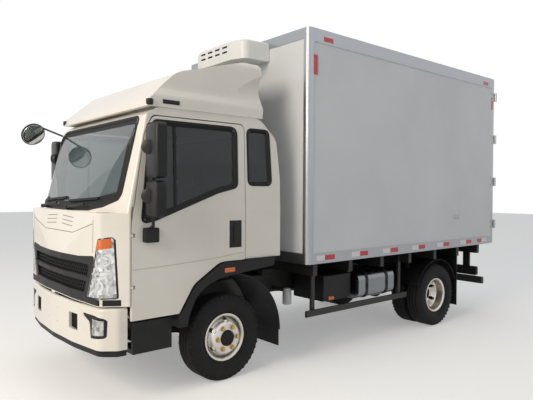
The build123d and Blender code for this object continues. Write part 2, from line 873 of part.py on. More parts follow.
def headlamps():
    far = 3 * cab_half
    left_front = block((0, far), (-far, 0), (0, far))
    lamp = (cab_body(1) - cab_body(48)) & along(lamp_outline(-fit), -far, lamp_back) & left_front
    return pair(one(lamp))


def roof_fairing():
    base = cab_roof_z + fit
    front = screen_top + 5
    def hood(inset):
        side = outline([
            (front + 1.5 * inset, base - 2 * inset, 0),
            (front + 30 + 1.2 * inset, base + 70 - 0.6 * inset, 60),
            (front + 320 + 0.4 * inset, base + 330 - inset, 300),
            (front + 1130, base + 555 - inset, 300),
            (front + 1285, base + 555 - inset, 20),
            (front + 1225, base - 2 * inset, 0),
        ])
        half = cab_half - 15 - inset
        face = outline([
            (-half, base - 100, 0), (half, base - 100, 0),
            (half, base + 90, 60), (half - 60, base + 180, 100),
            (half - 75, base + 560 - inset, 130), (-half + 75, base + 560 - inset, 130),
            (-half + 60, base + 180, 100), (-half, base + 90, 60)])
        body = across(side, -half, half) & along(face, -2000, 2000)
        start = Vector(cab_half + 60, front + 120, base + 72)
        end = Vector(cab_half + 60, front + 1320, base + 318)
        channel = Plane(origin=start, z_dir=end - start) * Cone(
            10 + inset, 190 + inset, (end - start).length, align=(Align.CENTER, Align.CENTER, Align.MIN))
        for cut in pair(channel):
            body -= cut
        return body
    shell = hood(0) - hood(25)
    return one(shell & block((-2000, 2000), (-2000, 2000), (base, 4000)))


def seats():
    solids = []
    step = arch_z + floor_plate + fit
    for x, half in ((-590, 240), (-70, 200), (540, 250)):
        cushion = block((x - half, x + half), (-330, 190), (step, step + 190))
        cushion = fillet(cushion.edges().filter_by(Axis.X).sort_by(Axis.Z)[-2:], 60)
        back = outline([
            (190, step + 120, 0), (330, step + 700, 45), (220, step + 700, 45), (60, step + 120, 0)])
        seat = cushion + across(back, x - half + 10, x + half - 10)
        head = outline([
            (250, step + 690, 0), (330, step + 690, 0), (345, step + 880, 30), (270, step + 880, 30)])
        seat += across(head, x - 120, x + 120)
        solids.append(one(seat))
    return solids


def dashboard():
    half = cab_half - cab_wall - gap - 40
    side = outline([
        (-1230, 1180, 0), (-790, 1180, 60), (-760, 1420, 60), (-830, 1530, 60), (-1230, 1575, 0)])
    panel = across(side, -half, half) & cab_body(cab_wall + fit)
    leg_z = (cab_floor_z + floor_plate + fit, 1190)
    legs = [block((x - 60, x + 60), (-1060, -960), leg_z) for x in (-300, 300)]
    column = rod(wheel_hub(-230), wheel_hub(-30), 24)
    column -= rod(wheel_hub(-90), wheel_hub(-20), steering_shaft + fit)
    return one(panel + legs[0] + legs[1] + column)


def wheel_hub(offset):
    # A point on the steering column, measured from the middle of the steering wheel
    lean = radians(column_tilt)
    return (steer_x, -640 + offset * cos(lean), 1520 + offset * sin(lean))


def steering_wheel():
    rim_ring = Torus(wheel_radius, 14)
    hub = Cylinder(45, 40)
    for turn in (90, 210, 330):
        hub += Rot(0, 0, turn) * Pos(wheel_radius / 2, 0, 0) * Box(wheel_radius, 34, 14)
    place = Plane(origin=wheel_hub(0), z_dir=Vector(*wheel_hub(1)) - Vector(*wheel_hub(0)))
    return one(place * (rim_ring + hub) + rod(wheel_hub(-80), wheel_hub(-10), steering_shaft))


def arch_flares():
    # Flare along the arch's edge, with a liner over the wheel and a flap behind it
    outer = cab_half + 14
    inner = outer - 130
    edge = outline([
        (-558, 600, 0), (-470, 600, 0), (-452, 690, 200), (-385, 838, 200), (-262, 938, 200),
        (-110, 988, 200), (60, 1003, 100), (520, 1048, 20),
        (520, arch_z - fit, 0), (-280, arch_z - fit, 0), (-558, 860, 0)])
    flare = across(edge, inner, outer)
    ring = Pos(0, tyre_radius) * (Circle(liner_radius) - Circle(liner_radius - 6))
    front_cut = Pos(-1000, tyre_radius - 700) * Rectangle(2000, 2000)
    rear_cut = Pos(1000, tyre_radius - 1010) * Rectangle(2000, 2000)
    flare += across(ring - front_cut - rear_cut, liner_inner, outer - 10)
    flap_y = (liner_radius - 7, liner_radius + 1)
    flare += block((liner_inner + 150, outer - 30), flap_y, (230, tyre_radius + 20))
    flare -= across(door_outline(gap), liner_inner - 1, outer + 1)
    return pair(one(flare))


def cab_steps():
    tread = block((760, 935), (-950, -590), (640, 690))
    side = block((905, 935), (-950, -590), (430, 690))
    foot = block((700, 935), (-950, -590), (430, 470))
    bracket = block((rail_outer + fit, 765), (-760, -690), (648, 682))
    lower = block((715, 765), (-760, -690), (440, 682))
    return pair(one(tread + side + foot + bracket + lower))


def wipers():
    solids = []
    skin = cab_body(-fit)
    for x in (-480, 180):
        arm = rod((x, cowl_y - 14, cowl_z + 32), (x + 380, cowl_y - 4, cowl_z + 70), 9)
        arm += block((x - 16, x + 16), (cowl_y - 26, cowl_y + 60), (cowl_z + 14, cowl_z + 46))
        solids.append(one(arm - skin))
    return solids


def bumper_plan(inset):
    right = [
        (945 - inset, -1002, 0),
        (945 - inset, -1080 + inset * 0.4, 70),
        (850 - inset * 0.7, -1205 + inset, 110),
        (450, -1264 + inset, 900),
    ]
    return outline(right + [(0, bumper_nose + inset, 0)] + [(-x, y, r) for x, y, r in reversed(right)])


def bumper():
    shell = upright(bumper_plan(0), bumper_bottom, bumper_top)
    rim_edges = shell.faces().sort_by(Axis.Z)[-1].edges().filter_by(lambda e: e.center().Y < -1010)
    shell = fillet(rim_edges, 24)
    shell -= upright(bumper_plan(bumper_wall), 0, 2000)
    for x in (-451, 451):
        shell -= block((x - tow_half, x + tow_half), (-1400, -1100), (600, 738))
    for x in (-plate_holes_x / 2, plate_holes_x / 2):
        for z in (plate_z - plate_holes_z / 2, plate_z + plate_holes_z / 2):
            shell -= rod((x, -1400, z), (x, -1100, z), plate_hole / 2)
    for lamp in pair(along(fog_outline(0), -1400, -950)):
        shell -= lamp
    for x in (-rail_outer + 35, rail_outer - 35):
        shell += block((x - 30, x + 30), (-1240, rail_front - fit), (rail_bottom + 20, rail_top - 60))
    return one(shell)


def fog_outline(grow):
    g = grow
    return outline([
        (735 - g, 572 - g, 15), (890 + g, 592 - g, 25), (895 + g, 745 + g, 30),
        (800, 765 + g, 40), (610 - g, 768 + g, 8),
        (640, 738 - g, 20), (720 - g, 705, 40)])


def fog_lamps():
    lamp = along(fog_outline(-fit), -1400, -950)
    lamp &= upright(bumper_plan(3), 0, 2000) - upright(bumper_plan(bumper_wall + 25), 0, 2000)
    return pair(one(lamp))


def bumper_lip():
    shell = upright(bumper_plan(14), lip_bottom, bumper_bottom - fit)
    shell -= upright(bumper_plan(60), 0, 2000)
    return one(shell)


def door_mirror(side):
    # Heads: height of the middle, width, height, depth
    x = cab_half + 95
    post_y = -845
    post = rod((x, post_y, 1480), (x, post_y, 2290), 13) + Pos(x, post_y, 2290) * Sphere(13)
    post += rod((cab_half - 60, -760, 2310), (x, post_y, 2290), 13)
    foot = block((cab_half + fit, cab_half + 60), (-890, -770), (1350, 1470))
    foot = fillet(foot.edges().filter_by(Axis.X), 12)
    post += foot + rod((cab_half + 40, post_y, 1460), (x, post_y, 1490), 13)
    for z, wide, high in ((2092, 200, 440), (1706, 190, 290)):
        head = block((x - 40, x - 40 + wide), (post_y - 45, post_y + 35), (z - high / 2, z + high / 2))
        post += fillet(head.edges().filter_by(Axis.Y), 44)
    post -= cab_body(-fit)
    return one(post) if side > 0 else one(mirror(post, Plane.YZ))


def corner_mirror():
    # Round convex mirror on a bent arm at the right front corner of the roof edge
    root, bend, tip = (-915, -840, 2345), (-965, -1085, 2440), (-1000, -1157, 2366)
    arm = rod(root, bend, 9) + rod(bend, tip, 9) + Pos(*bend) * Sphere(9)
    head = Plane(origin=tip, z_dir=(-0.8, -0.1, 0.45)) * lathe_up([
        (0, -14, 0), (corner_mirror_radius, -14, 4), (corner_mirror_radius, 8, 10),
        (corner_mirror_radius * 0.6, 30, 40), (0, 34, 0)])
    return one(arm + head - cab_body(-fit))


def nodes():
    made = {
        "ladder_frame": ladder_frame(),
        "front_axle": [front_axle()],
        "rear_axle": [rear_axle()],
        "leaf_springs": leaf_springs(),
        "propeller_shaft": [propeller_shaft()],
        "engine_and_gearbox": [engine_and_gearbox()],
        "fuel_tank": fuel_tank(),
        "battery_box": battery_box(),
        "muffler": muffler(),
        "side_guards": side_guards(),
        "rear_underrun": [rear_underrun()],
        "mudguards": mudguards(),
        "tail_lamps": tail_lamps(),
        "cab_steps": cab_steps(),
        "bumper": [bumper()],
        "bumper_lip": [bumper_lip()],
        "fog_lamps": fog_lamps(),
        "box_floor": box_floor(),
        "box_rear_frame": [box_rear_frame()],
        "box_edge_trim": box_edge_trim(),
        "fridge_unit": [fridge_unit()],
        "cab_floor": [cab_floor()],
        "cab_glass": cab_glass(),
        "grille": [grille()],
        "headlamps": headlamps(),
        "roof_fairing": [roof_fairing()],
        "seats": seats(),
        "dashboard": [dashboard()],
        "steering_wheel": [steering_wheel()],
        "arch_flares": arch_flares(),
        "wipers": wipers(),
        "corner_mirror": [corner_mirror()],
        "tie_rod": [tie_rod()],
    }
    made["box_side_walls"], made["box_front_wall"], made["box_roof"] = box_walls()
    made.update(cab_shell())
    for name, side in (("left", 1), ("right", -1)):
        made[f"{name}_door"], made[f"{name}_door_glass"] = cab_door(side)
        made[f"{name}_mirror"] = [door_mirror(side)]
        made[f"{name}_knuckle"] = [knuckle(side)]
        made[f"rear_{name}_door"], made[f"rear_{name}_ironwork"] = rear_door(side)
        made[f"front_{name}_rim"], made[f"front_{name}_tyre"] = front_wheel(side)
        made[f"rear_{name}_rims"], made[f"rear_{name}_tyres"] = rear_wheels(side)
    return made


def main():
    os.makedirs("parts", exist_ok=True)
    for name, solids in nodes().items():
        placed = [Pos(0, -centre_y, 0) * solid for solid in solids]
        export_step(Compound(children=placed), f"parts/{name}.step")


if __name__ == "__main__":
    main()
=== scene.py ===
import math
import bpy
import bmesh
from mathutils import Matrix, Vector


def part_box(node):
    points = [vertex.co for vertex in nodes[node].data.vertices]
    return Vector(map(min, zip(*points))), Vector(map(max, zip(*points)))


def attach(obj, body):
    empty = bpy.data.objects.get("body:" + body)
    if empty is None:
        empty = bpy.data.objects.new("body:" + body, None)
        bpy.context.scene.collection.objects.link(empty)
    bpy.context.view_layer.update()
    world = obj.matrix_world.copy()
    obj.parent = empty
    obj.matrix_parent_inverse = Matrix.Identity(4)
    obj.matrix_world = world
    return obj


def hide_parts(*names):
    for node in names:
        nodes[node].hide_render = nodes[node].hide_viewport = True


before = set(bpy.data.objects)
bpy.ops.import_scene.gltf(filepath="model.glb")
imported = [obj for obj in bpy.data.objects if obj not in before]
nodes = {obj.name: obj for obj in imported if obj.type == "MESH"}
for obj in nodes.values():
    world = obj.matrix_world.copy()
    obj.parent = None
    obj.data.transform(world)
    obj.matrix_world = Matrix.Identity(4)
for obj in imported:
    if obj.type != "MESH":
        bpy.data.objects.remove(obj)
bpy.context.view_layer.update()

tyreLow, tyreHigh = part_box("front_left_tyre")
axleY = (tyreLow.y + tyreHigh.y) / 2  # front axle, from which the pieces are placed
print("frame loaded,", len(nodes), "nodes")


# Colours are written as on a paint card and turned to linear light
def hexColour(code):
    linear = []
    for i in (0, 2, 4):
        c = int(code[i:i + 2], 16) / 255
        linear.append(c / 12.92 if c <= 0.04045 else ((c + 0.055) / 1.055) ** 2.4)
    return (*linear, 1)


def addNode(mat, kind, settings=None, links=None):
    node = mat.node_tree.nodes.new("ShaderNode" + kind)
    for key, value in (settings or {}).items():
        if key == "stops":  # place and colour of each stop of a ramp
            for stop, (at, code) in zip(node.color_ramp.elements, value):
                stop.position, stop.color = at, hexColour(code)
        elif isinstance(key, int) or key in node.inputs:
            node.inputs[key].default_value = value
        else:
            setattr(node, key, value)
    for socket, source in (links or {}).items():
        mat.node_tree.links.new(source, node.inputs[socket])
    return node


def newMaterial(name):
    # gives the material and the Object coordinates that its patterns lie on
    mat = bpy.data.materials.new(name)
    mat.use_nodes = True
    mat.node_tree.nodes.clear()
    return mat, addNode(mat, "TexCoord").outputs["Object"]


def closeMaterial(mat, shader):
    addNode(mat, "OutputMaterial", {}, {"Surface": shader.outputs[0]})
    return mat


# Cab enamel: sprayed and baked, so glossy with a fine orange peel; road film greys it in soft patches
def makeCabEnamel():
    mat, place = newMaterial("cabEnamel")
    film = addNode(mat, "TexNoise", {"Scale": 1.6, "Detail": 5, "Roughness": 0.6}, {"Vector": place})
    tint = addNode(mat, "ValToRGB", {"stops": ((0.3, "E6E2D9"), (0.7, "EFECE5"))}, {"Fac": film.outputs["Fac"]})
    peel = addNode(mat, "TexNoise", {"Scale": 260, "Detail": 1}, {"Vector": place})  # 4 mm peel, coarser than life
    bump = addNode(mat, "Bump", {"Strength": 0.05, "Distance": 0.0004}, {"Height": peel.outputs["Fac"]})
    enamel = addNode(mat, "BsdfPrincipled",
                     {"Roughness": 0.3, "Coat Weight": 0.35, "Coat Roughness": 0.08, "IOR": 1.5},
                     {"Base Color": tint.outputs["Color"], "Normal": bump.outputs["Normal"]})
    return closeMaterial(mat, enamel)


# Gel-coat skin of the sandwich panels and the unit's shell: cool white, satin, faintly wavy from the press
def makeGelCoat(name, low, high):
    mat, place = newMaterial(name)
    cloud = addNode(mat, "TexNoise", {"Scale": 0.9, "Detail": 4, "Roughness": 0.55}, {"Vector": place})
    tint = addNode(mat, "ValToRGB", {"stops": ((0.35, low), (0.65, high))}, {"Fac": cloud.outputs["Fac"]})
    wave = addNode(mat, "TexNoise", {"Scale": 2.4, "Detail": 1}, {"Vector": place})  # 400 mm waves
    bump = addNode(mat, "Bump", {"Strength": 0.08, "Distance": 0.004}, {"Height": wave.outputs["Fac"]})
    skin = addNode(mat, "BsdfPrincipled", {"Roughness": 0.36, "IOR": 1.48},
                   {"Base Color": tint.outputs["Color"], "Normal": bump.outputs["Normal"]})
    return closeMaterial(mat, skin)


# Bare metal, extruded, brushed or plated: fine tool lines along the run stretch the highlights
def makeBareMetal(name, colour, along, rough):
    mat, place = newMaterial(name)
    stretch = addNode(mat, "Mapping", {"Scale": along}, {"Vector": place})
    lines = addNode(mat, "TexNoise", {"Scale": 190, "Detail": 3},  # 5 mm lines, coarser than life to show
                    {"Vector": stretch.outputs["Vector"]})
    shade = addNode(mat, "MapRange", {"To Min": rough - 0.07, "To Max": rough + 0.1},
                    {"Value": lines.outputs["Fac"]})
    bump = addNode(mat, "Bump", {"Strength": 0.08, "Distance": 0.0004}, {"Height": lines.outputs["Fac"]})
    metal = addNode(mat, "BsdfPrincipled", {"Base Color": hexColour(colour), "Metallic": 1.0},
                    {"Roughness": shade.outputs["Result"], "Normal": bump.outputs["Normal"]})
    return closeMaterial(mat, metal)


# Moulded plastic or rubber, grained in the tool: dull, a little dusty, with a pebble of about 3 mm; the same recipe
# gives the painted shade of seams and creases
def makeGrainedPlastic(name, low, high, rough):
    mat, place = newMaterial(name)
    dust = addNode(mat, "TexNoise", {"Scale": 5, "Detail": 6, "Roughness": 0.65}, {"Vector": place})
    tint = addNode(mat, "ValToRGB", {"stops": ((0.35, low), (0.75, high))}, {"Fac": dust.outputs["Fac"]})
    grain = addNode(mat, "TexVoronoi", {"Scale": 330}, {"Vector": place})
    bump = addNode(mat, "Bump", {"Strength": 0.25, "Distance": 0.0006}, {"Height": grain.outputs["Distance"]})
    plastic = addNode(mat, "BsdfPrincipled", {"Roughness": rough, "IOR": 1.49, "Specular IOR Level": 0.3},
                      {"Base Color": tint.outputs["Color"], "Normal": bump.outputs["Normal"]})
    return closeMaterial(mat, plastic)


# Chassis paint over steel and castings: satin black, greyed by road dust that lies on what faces up
def makeDustyPaint(name, paint, dust, rough):
    mat, place = newMaterial(name)
    facing = addNode(mat, "NewGeometry")
    split = addNode(mat, "SeparateXYZ", {}, {"Vector": facing.outputs["Normal"]})
    specks = addNode(mat, "TexNoise", {"Scale": 14, "Detail": 8, "Roughness": 0.7}, {"Vector": place})
    lie = addNode(mat, "MapRange", {"From Min": -0.6, "From Max": 1.4, "To Max": 0.75},
                  {"Value": split.outputs["Z"]})
    amount = addNode(mat, "Math", {"operation": "MULTIPLY"}, {0: specks.outputs["Fac"], 1: lie.outputs["Result"]})
    tint = addNode(mat, "Mix", {"data_type": "RGBA", 6: hexColour(paint), 7: hexColour(dust)},
                   {"Factor": amount.outputs["Value"]})
    bump = addNode(mat, "Bump", {"Strength": 0.15, "Distance": 0.001}, {"Height": specks.outputs["Fac"]})
    coat = addNode(mat, "BsdfPrincipled", {"Roughness": rough, "IOR": 1.5},
                   {"Base Color": tint.outputs[2], "Normal": bump.outputs["Normal"]})
    return closeMaterial(mat, coat)


# Tyre rubber: carbon black gone grey on the tread, matt, with fine moulded pitting
def makeTyreRubber():
    mat, place = newMaterial("tyreRubber")
    wear = addNode(mat, "TexNoise", {"Scale": 9, "Detail": 7, "Roughness": 0.65}, {"Vector": place})
    tint = addNode(mat, "ValToRGB", {"stops": ((0.35, "0E0E0F"), (0.75, "1E1D1D"))}, {"Fac": wear.outputs["Fac"]})
    bump = addNode(mat, "Bump", {"Strength": 0.2, "Distance": 0.001}, {"Height": wear.outputs["Fac"]})
    rubber = addNode(mat, "BsdfPrincipled", {"Roughness": 0.78, "IOR": 1.52, "Specular IOR Level": 0.3},
                     {"Base Color": tint.outputs["Color"], "Normal": bump.outputs["Normal"]})
    return closeMaterial(mat, rubber)


# Laminated or tinted float glass: a dark sheet with clear reflections and a trace of haze
def makeGlass(name, colour, rough):
    mat, place = newMaterial(name)
    film = addNode(mat, "TexNoise", {"Scale": 7, "Detail": 4}, {"Vector": place})
    haze = addNode(mat, "MapRange", {"To Min": rough, "To Max": rough + 0.05}, {"Value": film.outputs["Fac"]})
    glass = addNode(mat, "BsdfPrincipled",
                    {"Base Color": hexColour(colour), "IOR": 1.45, "Transmission Weight": 0.94},
                    {"Roughness": haze.outputs["Result"]})
    return closeMaterial(mat, glass)


# Lens of dyed acrylic with moulded flutes of about 5 mm: deep colour under a bright wet gloss
def makeLens(name, low, high, rough, flute):
    mat, place = newMaterial(name)
    ribs = addNode(mat, "TexWave", {"Scale": flute, "Distortion": 0.3, "bands_direction": "Z"}, {"Vector": place})
    tint = addNode(mat, "ValToRGB", {"stops": ((0, low), (1, high))}, {"Fac": ribs.outputs["Fac"]})
    bump = addNode(mat, "Bump", {"Strength": 0.3, "Distance": 0.002}, {"Height": ribs.outputs["Fac"]})
    lens = addNode(mat, "BsdfPrincipled",
                   {"Roughness": rough, "IOR": 1.49, "Coat Weight": 0.6, "Coat Roughness": 0.03},
                   {"Base Color": tint.outputs["Color"], "Normal": bump.outputs["Normal"]})
    return closeMaterial(mat, lens)


# Reflector behind a clear lens: bright pressed facets of about 30 mm, each at its own tilt; each facet's colour is
# a painted reflection, darker or brighter at random
def makeGlintFacetLens(name, low, high):
    mat, place = newMaterial(name)
    facets = addNode(mat, "TexVoronoi", {"Scale": 34, "distance": "CHEBYCHEV"}, {"Vector": place})
    shade = addNode(mat, "SeparateColor", {}, {"Color": facets.outputs["Color"]})
    # painted reflection: each facet takes a random shade between dark grey and near white
    tint = addNode(mat, "ValToRGB", {"stops": ((0, low), (1, high))}, {"Fac": shade.outputs["Red"]})
    bump = addNode(mat, "Bump", {"Strength": 0.6, "Distance": 0.01}, {"Height": facets.outputs["Distance"]})
    lens = addNode(mat, "BsdfPrincipled",
                   {"Metallic": 0.55, "Roughness": 0.16, "Coat Weight": 1.0, "Coat Roughness": 0.02},
                   {"Base Color": tint.outputs["Color"], "Normal": bump.outputs["Normal"]})
    return closeMaterial(mat, lens)


# Retro-reflective tape: prisms in cells of about 8 mm under a clear film, so an even colour with a fine net
def makeReflexTape(name, low, high):
    mat, place = newMaterial(name)
    cells = addNode(mat, "TexVoronoi", {"Scale": 120, "feature": "DISTANCE_TO_EDGE"}, {"Vector": place})
    tint = addNode(mat, "ValToRGB", {"stops": ((0, low), (0.12, high))}, {"Fac": cells.outputs["Distance"]})
    tape = addNode(mat, "BsdfPrincipled", {"Roughness": 0.25, "IOR": 1.5, "Coat Weight": 0.5},
                   {"Base Color": tint.outputs["Color"]})
    return closeMaterial(mat, tape)


# Silver wheel paint: fine flake under lacquer, dulled by brake dust in soft patches
def makeWheelPaint():
    mat, place = newMaterial("silverWheelPaint")
    grime = addNode(mat, "TexNoise", {"Scale": 4, "Detail": 3, "Roughness": 0.5}, {"Vector": place})
    tint = addNode(mat, "ValToRGB", {"stops": ((0.3, "C9C6C0"), (0.65, "DDDAD4"))}, {"Fac": grime.outputs["Fac"]})
    shade = addNode(mat, "MapRange", {"To Min": 0.32, "To Max": 0.24}, {"Value": grime.outputs["Fac"]})
    lacquer = addNode(mat, "BsdfPrincipled", {"Metallic": 0.9},
                      {"Base Color": tint.outputs["Color"], "Roughness": shade.outputs["Result"]})
    return closeMaterial(mat, lacquer)


# Woven seat cloth: two yarns crossing at 6 mm, drawn coarser than life so that it shows
def makeSeatCloth():
    mat, place = newMaterial("wovenSeatCloth")
    warp = addNode(mat, "TexWave", {"Scale": 52, "bands_direction": "X"}, {"Vector": place})
    weft = addNode(mat, "TexWave", {"Scale": 52, "bands_direction": "Z"}, {"Vector": place})
    cross = addNode(mat, "Math", {"operation": "MULTIPLY"}, {0: warp.outputs["Fac"], 1: weft.outputs["Fac"]})
    tint = addNode(mat, "ValToRGB", {"stops": ((0, "3A3B3E"), (1, "6A6B6D"))}, {"Fac": cross.outputs["Value"]})
    bump = addNode(mat, "Bump", {"Strength": 0.4, "Distance": 0.002}, {"Height": cross.outputs["Value"]})
    cloth = addNode(mat, "BsdfPrincipled", {"Roughness": 0.9, "Sheen Weight": 0.3},
                    {"Base Color": tint.outputs["Color"], "Normal": bump.outputs["Normal"]})
    return closeMaterial(mat, cloth)


cabEnamel = makeCabEnamel()
gelCoat = makeGelCoat("boxGelCoat", "D9DDE1", "E2E5E8")
unitShell = makeGelCoat("coolingUnitShell", "E4E6E6", "EEEFEE")
railAluminium = makeBareMetal("anodisedRail", "A6A9AD", (1, 0.02, 1), 0.34)
tankAluminium = makeBareMetal("rolledTankSheet", "84888B", (1, 0.03, 1), 0.24)
stainless = makeBareMetal("brushedStainless", "A9ABAD", (1, 1, 0.03), 0.3)
chrome = makeBareMetal("platedReflector", "DADCDE", (1, 1, 1), 0.12)  # near mirror
zincNut = makeBareMetal("yellowZincNut", "B7A272", (1, 1, 1), 0.3)  # passivated, a warm grey
mirrorSilver = makeBareMetal("silveredMirror", "D5DADC", (1, 1, 1), 0.08)  # the sharpest reflection
blackTrim = makeGrainedPlastic("grainedBlackTrim", "101112", "1E1F20", 0.5)
dashPlastic = makeGrainedPlastic("dashboardPlastic", "4A4B4D", "626364", 0.6)
sealRubber = makeGrainedPlastic("doorSealRubber", "0B0C0C", "151616", 0.6)  # nearly black
capGrey = makeGrainedPlastic("mirrorShellBlack", "1E1F20", "2B2C2D", 0.3)  # smoother, with some gloss
seamShade = makeGrainedPlastic("seamShadow", "77726A", "857F76", 0.6)  # enamel in the shade of a seam
creaseShade = makeGrainedPlastic("creaseShade", "CBC7BD", "D2CEC4", 0.4)  # enamel turned from the light
chassisPaint = makeDustyPaint("satinChassisPaint", "0C0D0E", "45413B", 0.5)
castMetal = makeDustyPaint("paintedCasting", "141516", "4A4640", 0.62)
tyreRubber = makeTyreRubber()
wheelPaint = makeWheelPaint()
cabGlass = makeGlass("laminatedGlass", "B9C6C6", 0.01)
sideGlass = makeGlass("darkTintedGlass", "59676A", 0.01)
# the headlamp and clear lens facets carry painted reflections
headlampGlintLens = makeGlintFacetLens("paintedGlintHeadlampLens", "7C8287", "F4F5F6")
clearGlintLens = makeGlintFacetLens("paintedGlintFogLens", "6E7376", "D6D8D9")
amberLens = makeLens("amberLens", "C8560A", "F07A14", 0.15, 60)
redLens = makeLens("redLens", "8A0B0B", "C51414", 0.15, 60)
redTape = makeReflexTape("redReflexTape", "A81218", "D2262B")
whiteTape = makeReflexTape("whiteReflexTape", "C9CCCE", "F2F3F3")
seatCloth = makeSeatCloth()
print("materials made")

nodeFinish = {
    cabEnamel: "cab_floor cab_rear_wall cab_roof cab_side_frames cab_front roof_fairing left_door right_door "
               "bumper",
    gelCoat: "box_side_walls box_roof box_front_wall rear_left_door rear_right_door",
    unitShell: "fridge_unit",
    railAluminium: "box_edge_trim",
    tankAluminium: "fuel_tank",
    stainless: "box_rear_frame rear_left_ironwork rear_right_ironwork",
    blackTrim: "grille wipers arch_flares corner_mirror left_mirror right_mirror bumper_lip cab_steps "
               "steering_wheel battery_box mudguards fog_lamps tail_lamps",
    dashPlastic: "dashboard",
    chassisPaint: "side_guards ladder_frame rear_underrun leaf_springs propeller_shaft box_floor muffler",
    castMetal: "front_axle rear_axle engine_and_gearbox left_knuckle right_knuckle tie_rod",
    wheelPaint: "front_left_rim front_right_rim rear_left_rims rear_right_rims",
    tyreRubber: "front_left_tyre front_right_tyre rear_left_tyres rear_right_tyres",
    cabGlass: "cab_glass",
    sideGlass: "left_door_glass right_door_glass",
    headlampGlintLens: "headlamps",
    seatCloth: "seats",
}
for finish, names in nodeFinish.items():
    for name in names.split():
        nodes[name].data.materials.clear()
        nodes[name].data.materials.append(finish)
print("nodes finished")

# The camera stands where the photo was taken; lens and tilt were fitted on wheels, box corners and cab edges
bpy.context.scene.view_settings.view_transform = "Standard"
view = {"place": (4.89, axleY - 2.8718, 1.7731), "yaw": 0.8697, "pitch": -0.0169, "roll": 0.0054,
        "focalPixels": 525.7, "pixelsWide": 533, "sensor": 36}
bpy.ops.object.camera_add(location=view["place"])
camera = bpy.context.object
yaw, roll = Matrix.Rotation(view["yaw"], 4, "Z"), Matrix.Rotation(view["roll"], 4, "Z")
pitch = Matrix.Rotation(math.pi / 2 + view["pitch"], 4, "X")
camera.matrix_world = Matrix.Translation(view["place"]) @ yaw @ pitch @ roll
camera.data.sensor_fit = "HORIZONTAL"
camera.data.sensor_width = view["sensor"]
camera.data.lens = view["focalPixels"] / view["pixelsWide"] * view["sensor"]
bpy.context.scene.camera = camera


# Rays that the eye follows: straight, mirrored in metal or through glass
def seenByEye(owner):
    rays = addNode(owner, "LightPath")
    direct = addNode(owner, "Math", {"operation": "MAXIMUM"},
                     {0: rays.outputs["Is Camera Ray"], 1: rays.outputs["Is Transmission Ray"]})
    seen = addNode(owner, "Math", {"operation": "MAXIMUM"},
                   {0: direct.outputs["Value"], 1: rays.outputs["Is Glossy Ray"]})
    return seen.outputs["Value"]


studio = {"sky": "F3F5F8", "skyStrength": 0.38, "floorSize": 80, "floorTones": ((0, "F2F2F0"), (1, "F6F6F5")),
          "floorLift": 0.3}
world = bpy.data.worlds.new("studio")
bpy.context.scene.world = world
world.use_nodes = True
sky = world.node_tree.nodes["Background"]
sky.inputs["Color"].default_value = hexColour(studio["sky"])
sky.inputs["Strength"].default_value = studio["skyStrength"]
paper = addNode(world, "Background", {"Color": (1, 1, 1, 1), "Strength": 1.0})
mixed = addNode(world, "MixShader", {}, {0: seenByEye(world), 1: sky.outputs[0], 2: paper.outputs[0]})
world.node_tree.links.new(mixed.outputs[0], world.node_tree.nodes["World Output"].inputs["Surface"])

lamps = [  # place, target, size, watts, colour
    ((2.6, -11.5, 6.5), (0, -1.5, 1.6), 5.0, 640, "FFF1DE"),
    ((1.3, -6.0, 2.6), (1.0, 0.0, 1.6), 1.6, 18, "FFF4E6"),
    ((9.5, 3.0, 6.0), (0.6, 1.4, 1.8), 6.0, 15, "EEF3FA"),
    ((0.0, 1.0, 11.0), (0, 0.5, 2.0), 7.0, 90, "FFFFFF"),
]
for place, target, size, watts, tone in lamps:
    bpy.ops.object.light_add(type="AREA", location=place)
    lamp = bpy.context.object
    lamp.data.size, lamp.data.energy, lamp.data.color = size, watts, hexColour(tone)[:3]
    lamp.rotation_euler = (Vector(target) - Vector(place)).to_track_quat("-Z", "Y").to_euler()

# Floor of matt paper, lifted a little for the eye alone so that it stays pale
bpy.ops.mesh.primitive_plane_add(size=studio["floorSize"], location=(0, 0, 0))
floor = bpy.context.object
floor.name = "studioFloor"
floorMat, floorPlace = newMaterial("paleFloor")
floorCloud = addNode(floorMat, "TexNoise", {"Scale": 0.4}, {"Vector": floorPlace})
floorTint = addNode(floorMat, "ValToRGB", {"stops": studio["floorTones"]}, {"Fac": floorCloud.outputs["Fac"]})
floorMatt = addNode(floorMat, "BsdfDiffuse", {}, {"Color": floorTint.outputs["Color"]})
floorLift = addNode(floorMat, "Math", {"operation": "MULTIPLY", 1: studio["floorLift"]}, {0: seenByEye(floorMat)})
floorGlow = addNode(floorMat, "Emission", {}, {"Strength": floorLift.outputs["Value"]})
floorBoth = addNode(floorMat, "AddShader", {}, {0: floorMatt.outputs[0], 1: floorGlow.outputs[0]})
closeMaterial(floorMat, floorBoth)
floor.data.materials.append(floorMat)
print("camera, light and floor set")


# Everything below is built from the front axle, in metres: left is +X, ahead is -Y
def spot(x, y, z):
    return Vector((x, y + axleY, z))


def clearSelection():
    if bpy.context.object and bpy.context.object.mode != "OBJECT":
        bpy.ops.object.mode_set(mode="OBJECT")
    bpy.ops.object.select_all(action="DESELECT")


def pick(obj):
    clearSelection()
    obj.select_set(True)
    bpy.context.view_layer.objects.active = obj


def editAll(obj):
    pick(obj)
    bpy.ops.object.mode_set(mode="EDIT")
    bpy.ops.mesh.select_all(action="SELECT")


def faceOutwards(obj):
    editAll(obj)
    bpy.ops.mesh.normals_make_consistent(inside=False)
    bpy.ops.object.mode_set(mode="OBJECT")
    return obj


def applyPlace():
    bpy.ops.object.transform_apply(location=True, rotation=True, scale=True)


def useModifier(obj, kind, **settings):
    pick(obj)
    mod = obj.modifiers.new("shaping", kind)
    for key, value in settings.items():
        setattr(mod, key, value)
    bpy.ops.object.modifier_apply(modifier=mod.name)


